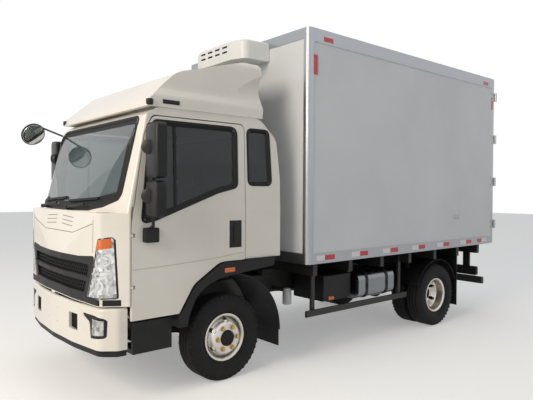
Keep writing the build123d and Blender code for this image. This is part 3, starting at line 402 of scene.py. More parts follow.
def copyOf(obj):
    pick(obj)
    bpy.ops.object.duplicate()
    return bpy.context.object


def joinPieces(parts):
    clearSelection()
    for part in parts:
        part.select_set(True)
    bpy.context.view_layer.objects.active = parts[0]
    if len(parts) > 1:
        bpy.ops.object.join()
    return bpy.context.object


def finishPiece(obj, name, material, body, angle=35):
    pick(obj)
    applyPlace()
    obj.name = name
    obj.data.materials.clear()
    obj.data.materials.append(material)
    bpy.ops.object.shade_smooth_by_angle(angle=math.radians(angle))
    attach(obj, body)
    return obj


def finishPair(obj, name, material, body):
    # a piece of the left side, and its mirror image on the right body
    twin = copyOf(finishPiece(obj, name, material, body))
    twin.data.transform(Matrix.Scale(-1, 4, (1, 0, 0)))
    twinName = name.replace("left", "right").replace("Left", "Right")
    finishPiece(faceOutwards(twin), twinName, material, body.replace("left", "right"))


def roundedBlock(low, high, edge, segments=2):
    clearSelection()
    middle = (Vector(low) + Vector(high)) / 2
    bpy.ops.mesh.primitive_cube_add(size=1, location=middle)
    obj = bpy.context.object
    obj.scale = Vector(high) - Vector(low)
    applyPlace()
    useModifier(obj, "BEVEL", width=edge, segments=segments)
    return obj


def blockAt(low, high, edge, segments=2):
    return roundedBlock(spot(*low), spot(*high), edge, segments)


def turnedRod(start, end, radius, edge=0.0, sides=20):
    clearSelection()
    start, end = Vector(start), Vector(end)
    run = end - start
    bpy.ops.mesh.primitive_cylinder_add(vertices=sides, radius=radius, depth=run.length, location=(start + end) / 2,
                                        rotation=run.to_track_quat("Z", "Y").to_euler())
    obj = bpy.context.object
    applyPlace()
    if edge:
        useModifier(obj, "BEVEL", width=edge, segments=2)
    return obj


def rodAt(start, end, radius, edge=0.0, sides=20):
    return turnedRod(spot(*start), spot(*end), radius, edge, sides)


def circlePoints(a, b, wide, high, count, start=0.0):
    turns = [start + math.tau * k / count for k in range(count)]
    return [Vector((a + math.cos(t) * wide, b + math.sin(t) * high)) for t in turns]


def roundedLoop(rows, steps=5):
    # rows are corners (a, b, radius); gives points on the outline with arcs at its corners
    points = []
    for i, (a, b, r) in enumerate(rows):
        here = Vector((a, b))
        if not r:
            points.append(here)
            continue
        back, ahead = Vector(rows[i - 1][:2]) - here, Vector(rows[(i + 1) % len(rows)][:2]) - here
        half = back.angle(ahead) / 2
        reach = min(r / math.tan(half), back.length * 0.49, ahead.length * 0.49)
        p0, p2 = here + back.normalized() * reach, here + ahead.normalized() * reach
        for k in range(steps + 1):
            t = k / steps
            points.append(p0 * (1 - t) ** 2 + here * 2 * t * (1 - t) + p2 * t ** 2)
    return points


def denseLoop(points, step):
    # more points along the long straight runs, so that a band can follow a curved panel
    dense = []
    for i, p in enumerate(points):
        q = points[(i + 1) % len(points)]
        count = max(1, int((q - p).length / step))
        dense += [p.lerp(q, k / count) for k in range(count)]
    return dense


def grownLoop(points, by):
    area = sum(points[i - 1].x * p.y - p.x * points[i - 1].y for i, p in enumerate(points))
    side = by if area > 0 else -by
    grown = []
    for i, p in enumerate(points):
        run = points[(i + 1) % len(points)] - points[i - 1]
        grown.append(p + Vector((run.y, -run.x)).normalized() * side)
    return grown


def loopObject(points, seat):
    # a ring of edges; seat puts a point of the outline into space
    clearSelection()
    bpy.ops.mesh.primitive_circle_add(vertices=len(points), fill_type="NOTHING")
    obj = bpy.context.object
    for vert, point in zip(obj.data.vertices, points):
        vert.co = seat(point)
    return obj


def bridgeLoops(loops):
    obj = joinPieces(loops)
    editAll(obj)
    bpy.ops.mesh.bridge_edge_loops()
    bpy.ops.object.mode_set(mode="OBJECT")
    return obj


def bandBetween(inner, outer, seat):
    return bridgeLoops([loopObject(inner, seat), loopObject(outer, seat)])


def patchGrid(corners, seat, across, up):
    # four corners, from low first round the patch, with enough faces to lie on a curved panel
    clearSelection()
    bpy.ops.mesh.primitive_grid_add(x_subdivisions=across, y_subdivisions=up, size=2)
    obj = bpy.context.object
    c = [Vector(p) for p in corners]
    for vert in obj.data.vertices:
        s, t = (vert.co.x + 1) / 2, (vert.co.y + 1) / 2
        vert.co = seat(c[0].lerp(c[1], s).lerp(c[3].lerp(c[2], s), t))
    return obj


def dropOn(obj, target, axis):
    # drops points on a panel along X or Y; one that passes the panel's edge takes the depth of its neighbour
    along, still = (0 if axis[0] else 1), 1e-4
    start = obj.data.vertices[0].co[along]
    useModifier(obj, "SHRINKWRAP", target=nodes[target], wrap_method="PROJECT", use_project_x=along == 0,
                use_project_y=along == 1, use_project_z=False, use_negative_direction=sum(axis) > 0,
                use_positive_direction=sum(axis) < 0)
    landed = [v.co.copy() for v in obj.data.vertices if abs(v.co[along] - start) > still]
    for vert in obj.data.vertices:
        if abs(vert.co[along] - start) <= still:
            across, high = vert.co[1 - along], vert.co[2]
            near = min(landed, key=lambda p: (p[1 - along] - across) ** 2 + (p[2] - high) ** 2)
            vert.co[along] = near[along]
    return obj


def layOn(obj, target, axis, thickness, sink=0.0):
    # a sheet that lies on a panel, with its thickness outwards
    dropOn(obj, target, axis)
    out = Vector(axis)
    obj.data.transform(Matrix.Translation(-out * sink))
    editAll(obj)
    bpy.ops.mesh.extrude_region_move(TRANSFORM_OT_translate={"value": out * (thickness + sink)})
    return faceOutwards(obj)


def layRibbon(lows, highs, seat, cells, target, axis, thickness, sink):
    # a strip between a lower and an upper run, patch by patch
    made = []
    for corners in zip(lows, lows[1:], highs[1:], highs):
        made.append(layOn(patchGrid(corners, seat, *cells), target, axis, thickness, sink))
    return joinPieces(made)


def sealBand(loop, seat, axis, rows, thickness=0.007):
    # rows are (growth of the loop, node it lies on): the section runs from the glass up to the panel and out
    bands = []
    for pairOf in zip(rows, rows[1:]):
        loops = [dropOn(loopObject(grownLoop(loop, by), seat), node, axis) for by, node in pairOf]
        bands.append(bridgeLoops(loops))
    obj = joinPieces(bands)
    editAll(obj)
    bpy.ops.mesh.remove_doubles(threshold=0.0002)
    faceOutwards(obj)
    useModifier(obj, "SOLIDIFY", thickness=thickness, offset=0)
    return obj


# Outlines are drawn on planes clear of the cab, or inside it, and dropped on the panels from there
def fromFront(point):
    return spot(point[0], -1.6, point[1])


def fromLeft(point):
    return spot(1.5, point[0], point[1])


def fromInside(point):
    return spot(0.3, point[0], point[1])


leftwards, rightwards, forwards = (1, 0, 0), (-1, 0, 0), (0, -1, 0)
fineEdge, softEdge = 0.002, 0.003  # rounding of small hard parts

# Windscreen and side windows
screen = {"rows": [(0, 1.625, 0), (0.47, 1.635, 0.08), (0.868, 1.715, 0.06), (0.88, 2.38, 0.09)], "step": 0.05,
          "border": (-0.05, -0.004), "borderThick": 0.001,
          "rubber": [(-0.012, "cab_glass"), (0.003, "cab_front"), (0.02, "cab_front")]}
screenRows = screen["rows"] + [(-x, z, r) for x, z, r in reversed(screen["rows"][1:])]
screenLoop = denseLoop(roundedLoop(screenRows), screen["step"])
border = bandBetween(*(grownLoop(screenLoop, by) for by in screen["border"]), fromFront)
border = layOn(border, "cab_glass", forwards, screen["borderThick"])
finishPiece(border, "windscreenBorder", sealRubber, "cab")
lip = sealBand(screenLoop, fromFront, forwards, screen["rubber"])
finishPiece(lip, "windscreenRubber", sealRubber, "cab")

doorWindow = {"rows": [(-0.885, 1.52, 0.03), (-0.815, 2.185, 0.03), (-0.765, 2.345, 0.03), (0.062, 2.345, 0.06),
                       (0.062, 1.82, 0.04), (-0.15, 1.77, 0.15), (-0.77, 1.545, 0.15)], "step": 0.06,
              "frame": [(-0.022, "left_door_glass"), (0.003, "left_door"), (0.022, "left_door")],
              "bar": [(-0.585, 1.64), (-0.559, 1.64), (-0.559, 2.33), (-0.585, 2.33)], "barThick": 0.006}
windowLoop = denseLoop(roundedLoop(doorWindow["rows"]), doorWindow["step"])
surround = sealBand(windowLoop, fromLeft, leftwards, doorWindow["frame"])
bar = layOn(patchGrid(doorWindow["bar"], fromLeft, 2, 12), "left_door_glass", leftwards, doorWindow["barThick"])
finishPair(joinPieces([surround, bar]), "leftWindowFrame", sealRubber, "left_cab_door")

quarter = {"rows": [(0.215, 1.84, 0.045), (0.48, 1.84, 0.045), (0.455, 2.35, 0.045), (0.21, 2.35, 0.045)],
           "rubber": [(-0.018, "cab_glass"), (0.003, "cab_side_frames"), (0.02, "cab_side_frames")], "step": 0.05,
           "film": [(0.235, 1.86), (0.46, 1.86), (0.44, 2.33), (0.23, 2.33)], "filmThick": 0.0008}
quarterLoop = denseLoop(roundedLoop(quarter["rows"]), quarter["step"])
rubber = sealBand(quarterLoop, fromLeft, leftwards, quarter["rubber"])
finishPair(rubber, "leftQuarterRubber", sealRubber, "cab")
film = layOn(patchGrid(quarter["film"], fromLeft, 2, 2), "cab_glass", leftwards, quarter["filmThick"])
finishPair(film, "leftQuarterFilm", sideGlass, "cab")
print("windows framed")

# Cowl, wiper blades and pressed lines of the front panel, the lines in painted shade
cowl = {"low": [(0, 1.596), (0.3, 1.597), (0.56, 1.602), (0.72, 1.632), (0.86, 1.69)],
        "high": [(0, 1.624), (0.3, 1.628), (0.56, 1.648), (0.72, 1.684), (0.875, 1.712)],
        "thick": 0.003, "sink": 0.002}
runs = [[(-x, z) for x, z in reversed(cowl[run][1:])] + cowl[run] for run in ("low", "high")]
strip = layRibbon(*runs, fromFront, (6, 2), "cab_front", forwards, cowl["thick"], cowl["sink"])
finishPiece(strip, "cowlStrip", blackTrim, "cab")

blades = {"feet": [(-0.56, 1.668), (0.1, 1.668)], "run": (0.56, 0.03), "high": (0, 0.02), "thick": 0.02}
made = []
for point in blades["feet"]:
    foot, up = Vector(point), Vector(blades["high"])
    tip = foot + Vector(blades["run"])
    blade = patchGrid([foot, tip, tip + up, foot + up], fromFront, 12, 1)
    made.append(layOn(blade, "cab_glass", forwards, blades["thick"]))
finishPiece(joinPieces(made), "wiperBlades", sealRubber, "cab")

# pressed lines: thin strips of painted shade laid on the front panel
pressedLines = {"wide": 0.006, "thick": 0.0006, "sink": 0.002, "rows": [  # (x, z) from, (x, z) to
    ((0.07, 1.548), (0.33, 1.535)), ((0.07, 1.512), (0.33, 1.499)), ((0.07, 1.476), (0.33, 1.463)),
    ((-0.33, 1.535), (-0.07, 1.548)), ((-0.33, 1.499), (-0.07, 1.512)), ((-0.33, 1.463), (-0.07, 1.476)),
    ((0.755, 1.27), (0.765, 1.592)), ((-0.765, 1.592), (-0.755, 1.27)),
    ((0.36, 1.41), (0.75, 1.5)), ((-0.75, 1.5), (-0.36, 1.41)), ((-0.36, 1.41), (0.36, 1.41))]}
made = []
for start, end in pressedLines["rows"]:
    a, b = Vector(start), Vector(end)
    up = Vector((a.y - b.y, b.x - a.x)).normalized() * pressedLines["wide"] / 2
    line = patchGrid([a - up, b - up, b + up, a + up], fromFront, 10, 1)
    made.append(layOn(line, "cab_front", forwards, pressedLines["thick"], pressedLines["sink"]))
finishPiece(joinPieces(made), "frontPanelLines", seamShade, "cab")
print("front panel dressed")

# Grille mesh: rings of six sides in staggered rows, dropped on the grille as one sheet
meshCells = {"pitch": 0.034, "rise": 0.87, "reach": 0.55, "wire": 0.004, "proud": 0.006,
             "rows": [(0.945, 1.01, 0.585), (1.08, 1.155, 0.65)]}  # low, high, half width
pitch, reach = meshCells["pitch"], meshCells["pitch"] * meshCells["reach"]
cells = []
for low, high, half in meshCells["rows"]:
    rise = pitch * meshCells["rise"]
    for row in range(int((high - low) / rise) + 1):
        x = -half + (row % 2) * pitch / 2
        while x < half:
            outline = circlePoints(x, low + row * rise, reach, reach, 6, math.radians(30))
            cells.append((outline, grownLoop(outline, -meshCells["wire"])))
            x += pitch
honeycomb = loopObject(cells[0][0], fromFront)
grid = bmesh.new()
for outline, hole in cells:
    ring = [grid.verts.new(fromFront(p)) for p in outline + hole]
    for k in range(6):
        after = (k + 1) % 6
        grid.faces.new((ring[k], ring[after], ring[6 + after], ring[6 + k]))
grid.to_mesh(honeycomb.data)
grid.free()
layOn(honeycomb, "grille", forwards, meshCells["proud"])
finishPiece(honeycomb, "grilleHoneycomb", sealRubber, "cab")
print("grille meshed,", len(cells), "cells")

# Headlamps: dark rim, amber indicator, two bright bowls with a shelf between them
lampShape = {"rows": [(0.662, 0.892, 0.015), (0.94, 0.905, 0.015), (0.925, 1.405, 0.025), (0.835, 1.385, 0.03),
                      (0.79, 1.235, 0.1)], "step": 0.03, "rim": (-0.009, -0.001), "rimThick": 0.003,
             "amber": [(0.806, 1.29), (0.908, 1.312), (0.905, 1.39), (0.838, 1.376)], "amberThick": 0.004,
             "bowls": [(0.862, 1.205, 0.052), (0.82, 1.0, 0.066)], "bowlNarrow": 0.8, "bowlSides": 28,
             "rings": [(0.18, 0, 0.004), (0.9, 0.5, 0.003)],  # inner and outer share of the way in, thickness
             "shelf": [(0.74, 1.09), (0.92, 1.1), (0.92, 1.118), (0.745, 1.108)], "shelfThick": 0.003}
lampLoop = denseLoop(roundedLoop(lampShape["rows"]), lampShape["step"])
rim = bandBetween(*(grownLoop(lampLoop, by) for by in lampShape["rim"]), fromFront)
rim = layOn(rim, "headlamps", forwards, lampShape["rimThick"])
finishPair(rim, "leftLampRim", blackTrim, "cab")
blinker = layOn(patchGrid(lampShape["amber"], fromFront, 6, 6), "headlamps", forwards, lampShape["amberThick"])
finishPair(blinker, "leftIndicator", amberLens, "cab")
made = []
for x, z, r in lampShape["bowls"]:
    middle, bowl = Vector((x, z)), circlePoints(x, z, r * lampShape["bowlNarrow"], r, lampShape["bowlSides"])
    for inner, outer, thick in lampShape["rings"]:
        ring = bandBetween(*([p.lerp(middle, share) for p in bowl] for share in (inner, outer)), fromFront)
        made.append(layOn(ring, "headlamps", forwards, thick))
made.append(layOn(patchGrid(lampShape["shelf"], fromFront, 6, 1), "headlamps", forwards, lampShape["shelfThick"]))
finishPair(joinPieces(made), "leftLampBowls", chrome, "cab")

# Painted shadow: a black strip on the cab front's lip under the grille, where the gap lies in shade
underGrilleShade = {"reach": (-0.95, -0.64, 0, 0.64, 0.95), "z": (0.849, 0.898), "thick": 0.002, "sink": 0.002}
runs = [[(x, z) for x in underGrilleShade["reach"]] for z in underGrilleShade["z"]]
strip = layRibbon(*runs, fromFront, (12, 2), "cab_front", forwards, underGrilleShade["thick"], underGrilleShade["sink"])
finishPiece(strip, "underGrilleShadow", blackTrim, "cab")

# Bumper: fog lamp lenses and tow pockets lined with painted shade, placed by the bumper's own skin
fogLens = {"corners": [(0.752, 0.6), (0.872, 0.612), (0.872, 0.728), (0.762, 0.735)], "thick": 0.004}
lens = layOn(patchGrid(fogLens["corners"], fromFront, 6, 6), "fog_lamps", forwards, fogLens["thick"])
finishPair(lens, "leftFogLens", clearGlintLens, "chassis")

pocket = {"x": 0.451, "half": 0.074, "z": (0.604, 0.734), "deep": 0.06, "edge": 0.004, "beside": 0.012,
          "sunk": 0.004, "wall": 0.008, "hollow": 0.045, "pinBack": 0.02, "pinShort": 0.02, "pinRadius": 0.011}
half, (z0, z1) = pocket["half"], pocket["z"]
made = []
for side in (-1, 1):
    x = pocket["x"] * side
    skin = spot(side * (pocket["x"] + half + pocket["beside"]), -2, z0)
    mouth = nodes["bumper"].ray_cast(skin, Vector((0, 1, 0)))[1].y - axleY + pocket["sunk"]
    # each pocket is a black-lined box: painted shade for the dark inside of the hole
    box = blockAt((x - half, mouth, z0), (x + half, mouth + pocket["deep"], z1), pocket["edge"])
    editAll(box)
    bpy.ops.mesh.select_all(action="DESELECT")
    bpy.ops.object.mode_set(mode="OBJECT")
    for face in box.data.polygons:
        face.select = face.normal.y < -0.9
    bpy.ops.object.mode_set(mode="EDIT")
    bpy.ops.mesh.inset(thickness=pocket["wall"], depth=-pocket["hollow"])
    bpy.ops.object.mode_set(mode="OBJECT")
    pinY, short = mouth + pocket["pinBack"], pocket["pinShort"]
    made += [box, rodAt((x, pinY, z0 + short), (x, pinY, z1 - short), pocket["pinRadius"], fineEdge)]
finishPiece(joinPieces(made), "towPocketShadeAndPins", sealRubber, "chassis")
print("lamps and bumper dressed")

# Doors: handle in its recess, mirror caps, shells and glass, crease in painted shade
handle = {"plate": ((0.974, -0.016, 1.25), (0.983, 0.123, 1.5)),
          "lever": ((0.98, 0.03, 1.285), (0.993, 0.078, 1.455)),
          "lock": ((0.98, 0.054, 1.475), (0.989, 0.054, 1.475)), "lockRadius": 0.011, "leverEdge": 0.006}
plate = blockAt(*handle["plate"], softEdge)
lever = blockAt(*handle["lever"], handle["leverEdge"], 3)
lock = rodAt(*handle["lock"], handle["lockRadius"], fineEdge)
finishPair(joinPieces([plate, lever, lock]), "leftDoorHandle", blackTrim, "left_cab_door")

mirrors = {"post": (1.08, -0.845), "caps": (2.12, 1.73), "capRadius": 0.058, "capEdge": 0.01,
           "capRun": ((-0.008, -0.03), (0.036, -0.066)), "inwards": 0.04,
           "heads": [(2.092, 0.2, 0.44), (1.706, 0.19, 0.29)],  # middle height, width, height
           "shell": (0.006, 0.006, -0.052, -0.005, 0.023, 4),  # inset along X and Z, depth from and to, edge, steps
           "pane": (0.014, 0.016, 0.033, 0.0385, 0.0025, 2)}
px, py = mirrors["post"]
caps = []
for z in mirrors["caps"]:
    start, end = [(px + dx, py + dy, z) for dx, dy in mirrors["capRun"]]
    caps.append(rodAt(start, end, mirrors["capRadius"], mirrors["capEdge"], sides=32))
finishPair(joinPieces(caps), "leftMirrorCaps", capGrey, "left_cab_door")
heads = {"shell": [], "pane": []}
for z, wide, high in mirrors["heads"]:
    for part, made in heads.items():
        dx, dz, near, far, edge, segments = mirrors[part]
        x0, x1 = px - mirrors["inwards"] + dx, px - mirrors["inwards"] + wide - dx
        made.append(blockAt((x0, py + near, z - high / 2 + dz), (x1, py + far, z + high / 2 - dz), edge, segments))
finishPair(joinPieces(heads["shell"]), "leftMirrorShells", capGrey, "left_cab_door")
finishPair(joinPieces(heads["pane"]), "leftMirrorGlass", mirrorSilver, "left_cab_door")

cornerGlass = {"tip": (-1.0, -1.157, 2.366), "facing": (0.8, 0.1, -0.45), "radius": 0.113,
               "lift": 0.0145, "thick": 0.006}
facing = Vector(cornerGlass["facing"]).normalized()
centre = spot(*cornerGlass["tip"]) + facing * cornerGlass["lift"]
disc = turnedRod(centre, centre + facing * cornerGlass["thick"], cornerGlass["radius"], softEdge, sides=40)
finishPiece(disc, "cornerMirrorGlass", mirrorSilver, "cab")

marker = {"block": ((0.99, -0.079, 1.028), (1.006, 0.037, 1.07)), "edge": 0.006}
finishPair(blockAt(*marker["block"], marker["edge"], 3), "leftArchMarker", amberLens, "cab")

# the crease is a thin strip of painted shade on the door
crease = {"points": [(-0.975, 1.127), (-0.6, 1.14), (-0.2, 1.162), (0.155, 1.196)], "wide": 0.008,
          "thick": 0.0008, "sink": 0.002}
tops = [(y, z + crease["wide"]) for y, z in crease["points"]]
line = layRibbon(crease["points"], tops, fromLeft, (8, 1), "left_door", leftwards, crease["thick"], crease["sink"])
finishPair(line, "leftDoorCrease", creaseShade, "left_cab_door")
print("doors dressed")

# Fairing lamp, box tapes, vent and cooling unit slots
roofLamp = {"rod": ((0.968, -0.82, 2.476), (0.968, -0.82, 2.53)), "radius": 0.03, "edge": 0.014,
            "plate": ((0.968, -0.7, 2.5), (0.976, -0.54, 2.535))}
ball = rodAt(*roofLamp["rod"], roofLamp["radius"], roofLamp["edge"])
stay = blockAt(*roofLamp["plate"], softEdge)
finishPair(joinPieces([ball, stay]), "leftRoofLamp", blackTrim, "cab")

tapes = {"x": (1.117, 1.1195), "z": (1.06, 1.112), "edge": 0.001,
         "white": [(0.99, 1.11), (1.535, 1.672), (2.085, 2.222), (2.655, 2.796), (3.215, 3.359), (3.79, 3.933),
                   (4.36, 4.5)],
         "red": [(1.11, 1.262), (1.672, 1.811), (2.222, 2.372), (2.796, 2.936), (3.359, 3.505), (3.933, 4.075),
                 (4.24, 4.36)]}
(x0, x1), (z0, z1) = tapes["x"], tapes["z"]
for tone, name, finish, slotName in (("white", "leftWhiteTape", whiteTape, "box_panel"),
                                     ("red", "leftRedTape", redTape, "red_lens")):
    strips = [blockAt((x0, a, z0), (x1, b, z1), tapes["edge"], 1) for a, b in tapes[tone]]
    finishPair(joinPieces(strips), name, finish, "chassis")

outlineTapes = {"x": 1.111, "edge": 0.001, "rows": [  # outer x, y from and to, z from and to
    (1.1205, 0.93, 0.985, 2.96, 3.16), (1.1205, 1.075, 1.215, 3.315, 3.362),
    (1.1205, 4.37, 4.5, 3.315, 3.362), (1.114, 4.612, 4.66, 2.98, 3.16)]}
strips = []
for x, y0, y1, z0, z1 in outlineTapes["rows"]:
    strips.append(blockAt((outlineTapes["x"], y0, z0), (x, y1, z1), outlineTapes["edge"], 1))
finishPair(joinPieces(strips), "leftOutlineTapes", redTape, "chassis")

vent = {"plate": ((1.111, 3.62, 1.41), (1.116, 3.74, 1.525)), "edge": 0.002, "slats": 5, "pitch": 0.02,
        "slat": ((1.115, 3.632, 1.428), (1.1195, 3.728, 1.436))}
made = [blockAt(*vent["plate"], vent["edge"])]
for k in range(vent["slats"]):
    low, high = [(x, y, z + k * vent["pitch"]) for x, y, z in vent["slat"]]
    made.append(blockAt(low, high, vent["edge"]))
finishPiece(joinPieces(made), "boxVent", stainless, "chassis")

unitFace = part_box("fridge_unit")[0].y - axleY
slots = {"z": (3.338, 3.284), "x": (-0.24, -0.1, 0.04, 0.18), "half": (0.045, 0.011), "proud": 0.002, "deep": 0.02,
         "edge": 0.004}
(dx, dz), near, far = slots["half"], unitFace - slots["proud"], unitFace + slots["deep"]
made = []
for z in slots["z"]:
    for x in slots["x"]:
        made.append(blockAt((x - dx, near, z - dz), (x + dx, far, z + dz), slots["edge"]))
finishPiece(joinPieces(made), "coolingUnitSlots", sealRubber, "chassis")
print("box dressed")

# Wheels: nuts, hubs dark with painted shade, and shoulder lugs; nut and lug are made once, for a wheel at the
# origin
wheels = [  # body, side, place along Y, disc face, hub past the face, tyre centres
    ("front_left_wheel", 1, 0.0, 0.934, 0.0, (0.812,)),
    ("front_right_wheel", -1, 0.0, 0.934, 0.0, (0.812,)),
    ("rear_left_wheels", 1, 3.36, 0.8145, 0.06, (0.925, 0.681)),
    ("rear_right_wheels", -1, 3.36, 0.8145, 0.06, (0.925, 0.681)),
]
wheelBits = {"hubZ": 0.403, "nuts": 6, "nutCircle": 0.108, "nutRadius": 0.019, "nutLength": 0.026, "nutOut": 0.012,
             "washer": ((-0.013, 0, 0), (-0.006, 0, 0)), "washerRadius": 0.026, "hubRadius": 0.075, "hubBack": 0.03,
             "hubEdge": 0.008, "lugEdge": 0.006,
             "drum": (0.112, 0.172), "drumBack": 0.066, "drumThick": 0.004, "lugs": 44, "lugTurn": -20,
             "lug": ((0.082, -0.013, 0.366), (0.1065, 0.013, 0.394))}
hubZ = wheelBits["hubZ"]
clearSelection()
bpy.ops.mesh.primitive_cylinder_add(vertices=6, radius=wheelBits["nutRadius"], depth=wheelBits["nutLength"],
                                    rotation=(0, math.pi / 2, 0))
nut = bpy.context.object
applyPlace()
useModifier(nut, "BEVEL", width=softEdge, segments=2)
nut = joinPieces([nut, turnedRod(*wheelBits["washer"], wheelBits["washerRadius"], fineEdge, sides=18)])
lug = roundedBlock(*wheelBits["lug"], wheelBits["lugEdge"], 1)
lug.data.transform(Matrix.Rotation(math.radians(wheelBits["lugTurn"]), 4, "Z"))
halfTurn = Matrix.Rotation(math.pi, 4, "Z")
for body, side, y, face, hubPast, centres in wheels:
    nuts = []
    for k in range(wheelBits["nuts"]):
        copy = copyOf(nut)
        if side < 0:
            copy.data.transform(halfTurn)
        copy.data.transform(Matrix.Translation((0, 0, wheelBits["nutCircle"])))
        copy.data.transform(Matrix.Rotation(math.tau * (k + 0.5) / wheelBits["nuts"], 4, "X"))
        copy.data.transform(Matrix.Translation(spot(side * (face + wheelBits["nutOut"]), y, hubZ)))
        nuts.append(copy)
    finishPiece(joinPieces(nuts), body + "Nuts", zincNut, body)
    # the hubs are black: painted shade for the deep, dark centres of the wheels
    hubShade = rodAt((side * (face - wheelBits["hubBack"]), y, hubZ), (side * (face + hubPast), y, hubZ),
                wheelBits["hubRadius"], wheelBits["hubEdge"], sides=40)
    if len(centres) == 1:  # painted shade: a dark ring at the brake drum's face, behind the vents
        drumX = side * (face - wheelBits["drumBack"])
        rings = [circlePoints(y, hubZ, r, r, 40) for r in wheelBits["drum"]]
        drum = bandBetween(*rings, lambda p: spot(drumX, p[0], p[1]))
        useModifier(drum, "SOLIDIFY", thickness=wheelBits["drumThick"], offset=0)
        hubShade = joinPieces([hubShade, drum])
    finishPiece(hubShade, body + "HubShade", sealRubber, body)
    lugs = []
    for centre in centres:
        for half in (1, -1):
            for k in range(wheelBits["lugs"]):
                copy = copyOf(lug)
                if half < 0:
                    copy.data.transform(halfTurn)
                step = k + 0.5 * (half > 0)  # the two shoulders are staggered
                copy.data.transform(Matrix.Rotation(math.tau * step / wheelBits["lugs"], 4, "X"))
                copy.data.transform(Matrix.Translation(spot(side * centre, y, hubZ)))
                lugs.append(copy)
    finishPiece(joinPieces(lugs), body + "Lugs", tyreRubber, body)
for spare in (nut, lug):
    bpy.data.objects.remove(spare)
print("wheels dressed")


# Seats: each pad is filled by cloth pressure, then sewn down along its channels
def plumpPad(obj, voxel, cap, pressure=4, steps=20):
    useModifier(obj, "REMESH", mode="VOXEL", voxel_size=voxel)
    start = [v.co.copy() for v in obj.data.vertices]
    pick(obj)
    filling = obj.modifiers.new("filling", "CLOTH")
    filling.settings.use_pressure = True
    filling.settings.uniform_pressure_force = pressure
    filling.settings.effector_weights.gravity = 0
    for step in range(1, steps + 1):
        bpy.context.scene.frame_set(step)
    bpy.ops.object.modifier_apply(modifier=filling.name)
    for vert, was in zip(obj.data.vertices, start):
        move = vert.co - was
        vert.co = was + move * min(1, cap / max(move.length, 1e-6))
    return obj


def sewChannels(obj, axis, places, face, depth, width):
    # presses sewn lines into the side of a pad that looks towards face
    for vert in obj.data.vertices:
        if vert.normal.dot(face) > 0.3:
            for at in places:
                far = (vert.co[axis] - at) / width
                vert.co -= face * depth * math.exp(-far * far)


seat = {"places": [(-0.59, 0.24), (-0.07, 0.2), (0.54, 0.25)], "half": 0.25, "base": 1.1815,  # middle, half width
        "voxel": 0.012, "cap": 0.02, "lean": math.radians(-14.5), "stitch": 0.012,
        "cushion": ((-0.235, -0.315, 0.012), (0.235, 0.17, 0.165), 0.035),
        "back": ((-0.225, -0.045, 0.02), (0.225, 0.045, 0.585), 0.03), "backFoot": (0, 0.125, 0.12),
        "head": ((-0.11, -0.032, 0.0), (0.11, 0.032, 0.16), 0.025), "headFoot": (0, 0.298, 0.706),
        "sideSeams": ((-0.13, 0.13), 0.008), "cushionSeams": ((-0.17, -0.04, 0.08), 0.005),
        "backSeams": ((0.15, 0.29, 0.43), 0.005),
        "posts": (-0.05, 0.05), "postFoot": (0.262, 0.64), "postTop": (0.292, 0.75), "postRadius": 0.006}
cushion = plumpPad(roundedBlock(*seat["cushion"], 3), seat["voxel"], seat["cap"])
back = plumpPad(roundedBlock(*seat["back"], 3), seat["voxel"], seat["cap"])
head = plumpPad(roundedBlock(*seat["head"], 3), seat["voxel"], seat["cap"] / 2)
for pad, face, axis, seams in ((cushion, (0, 0, 1), 0, "sideSeams"), (cushion, (0, 0, 1), 1, "cushionSeams"),
                               (back, (0, -1, 0), 0, "sideSeams"), (back, (0, -1, 0), 2, "backSeams")):
    places, depth = seat[seams]
    sewChannels(pad, axis, places, Vector(face), depth, seat["stitch"])
for vert in cushion.data.vertices:  # flat where it rests on the floor step
    vert.co.z = max(vert.co.z, 0.0)
back.data.transform(Matrix.Translation(seat["backFoot"]) @ Matrix.Rotation(seat["lean"], 4, "X"))
head.data.transform(Matrix.Translation(seat["headFoot"]) @ Matrix.Rotation(seat["lean"] / 2, 4, "X"))
pads, posts = [], []
(footY, footZ), (topY, topZ), base = seat["postFoot"], seat["postTop"], seat["base"]
for x, half in seat["places"]:
    for pad in (cushion, back, head):
        copy = copyOf(pad)
        copy.data.transform(Matrix.Translation(spot(x, 0, base)) @ Matrix.Scale(half / seat["half"], 4, (1, 0, 0)))
        pads.append(copy)
    for dx in seat["posts"]:
        posts.append(rodAt((x + dx, footY, base + footZ), (x + dx, topY, base + topZ), seat["postRadius"]))
for pad in (cushion, back, head):
    bpy.data.objects.remove(pad)
pads = finishPiece(joinPieces(pads), "seatPads", seatCloth, "cab", 60)
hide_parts("seats")
finishPiece(joinPieces(posts), "headrestPosts", chrome, "cab")
print("seats filled")

# Lining: boards on the rear wall, the doors and under the roof
lining = {"wall": [(-0.86, 1.2), (0.86, 1.2), (0.82, 2.33), (-0.82, 2.33)], "thick": 0.012,
          "roof": ((-0.8, -0.7, 2.389), (0.8, 0.36, 2.401)),
          "door": [(-0.86, 1.02), (0.08, 1.02), (0.08, 1.74), (-0.8, 1.5)],
          "armrest": ((0.845, -0.6, 1.29), (0.902, -0.1, 1.35)), "boardEdge": 0.005, "armEdge": 0.02}
wallBoard = layOn(patchGrid(lining["wall"], fromFront, 14, 12), "cab_rear_wall", forwards, lining["thick"])
roofBoard = blockAt(*lining["roof"], lining["boardEdge"])
finishPiece(joinPieces([wallBoard, roofBoard]), "cabLining", dashPlastic, "cab")
card = layOn(patchGrid(lining["door"], fromInside, 12, 8), "left_door", rightwards, lining["thick"])
armrest = blockAt(*lining["armrest"], lining["armEdge"], 3)
finishPair(joinPieces([card, armrest]), "leftDoorCard", dashPlastic, "left_cab_door")

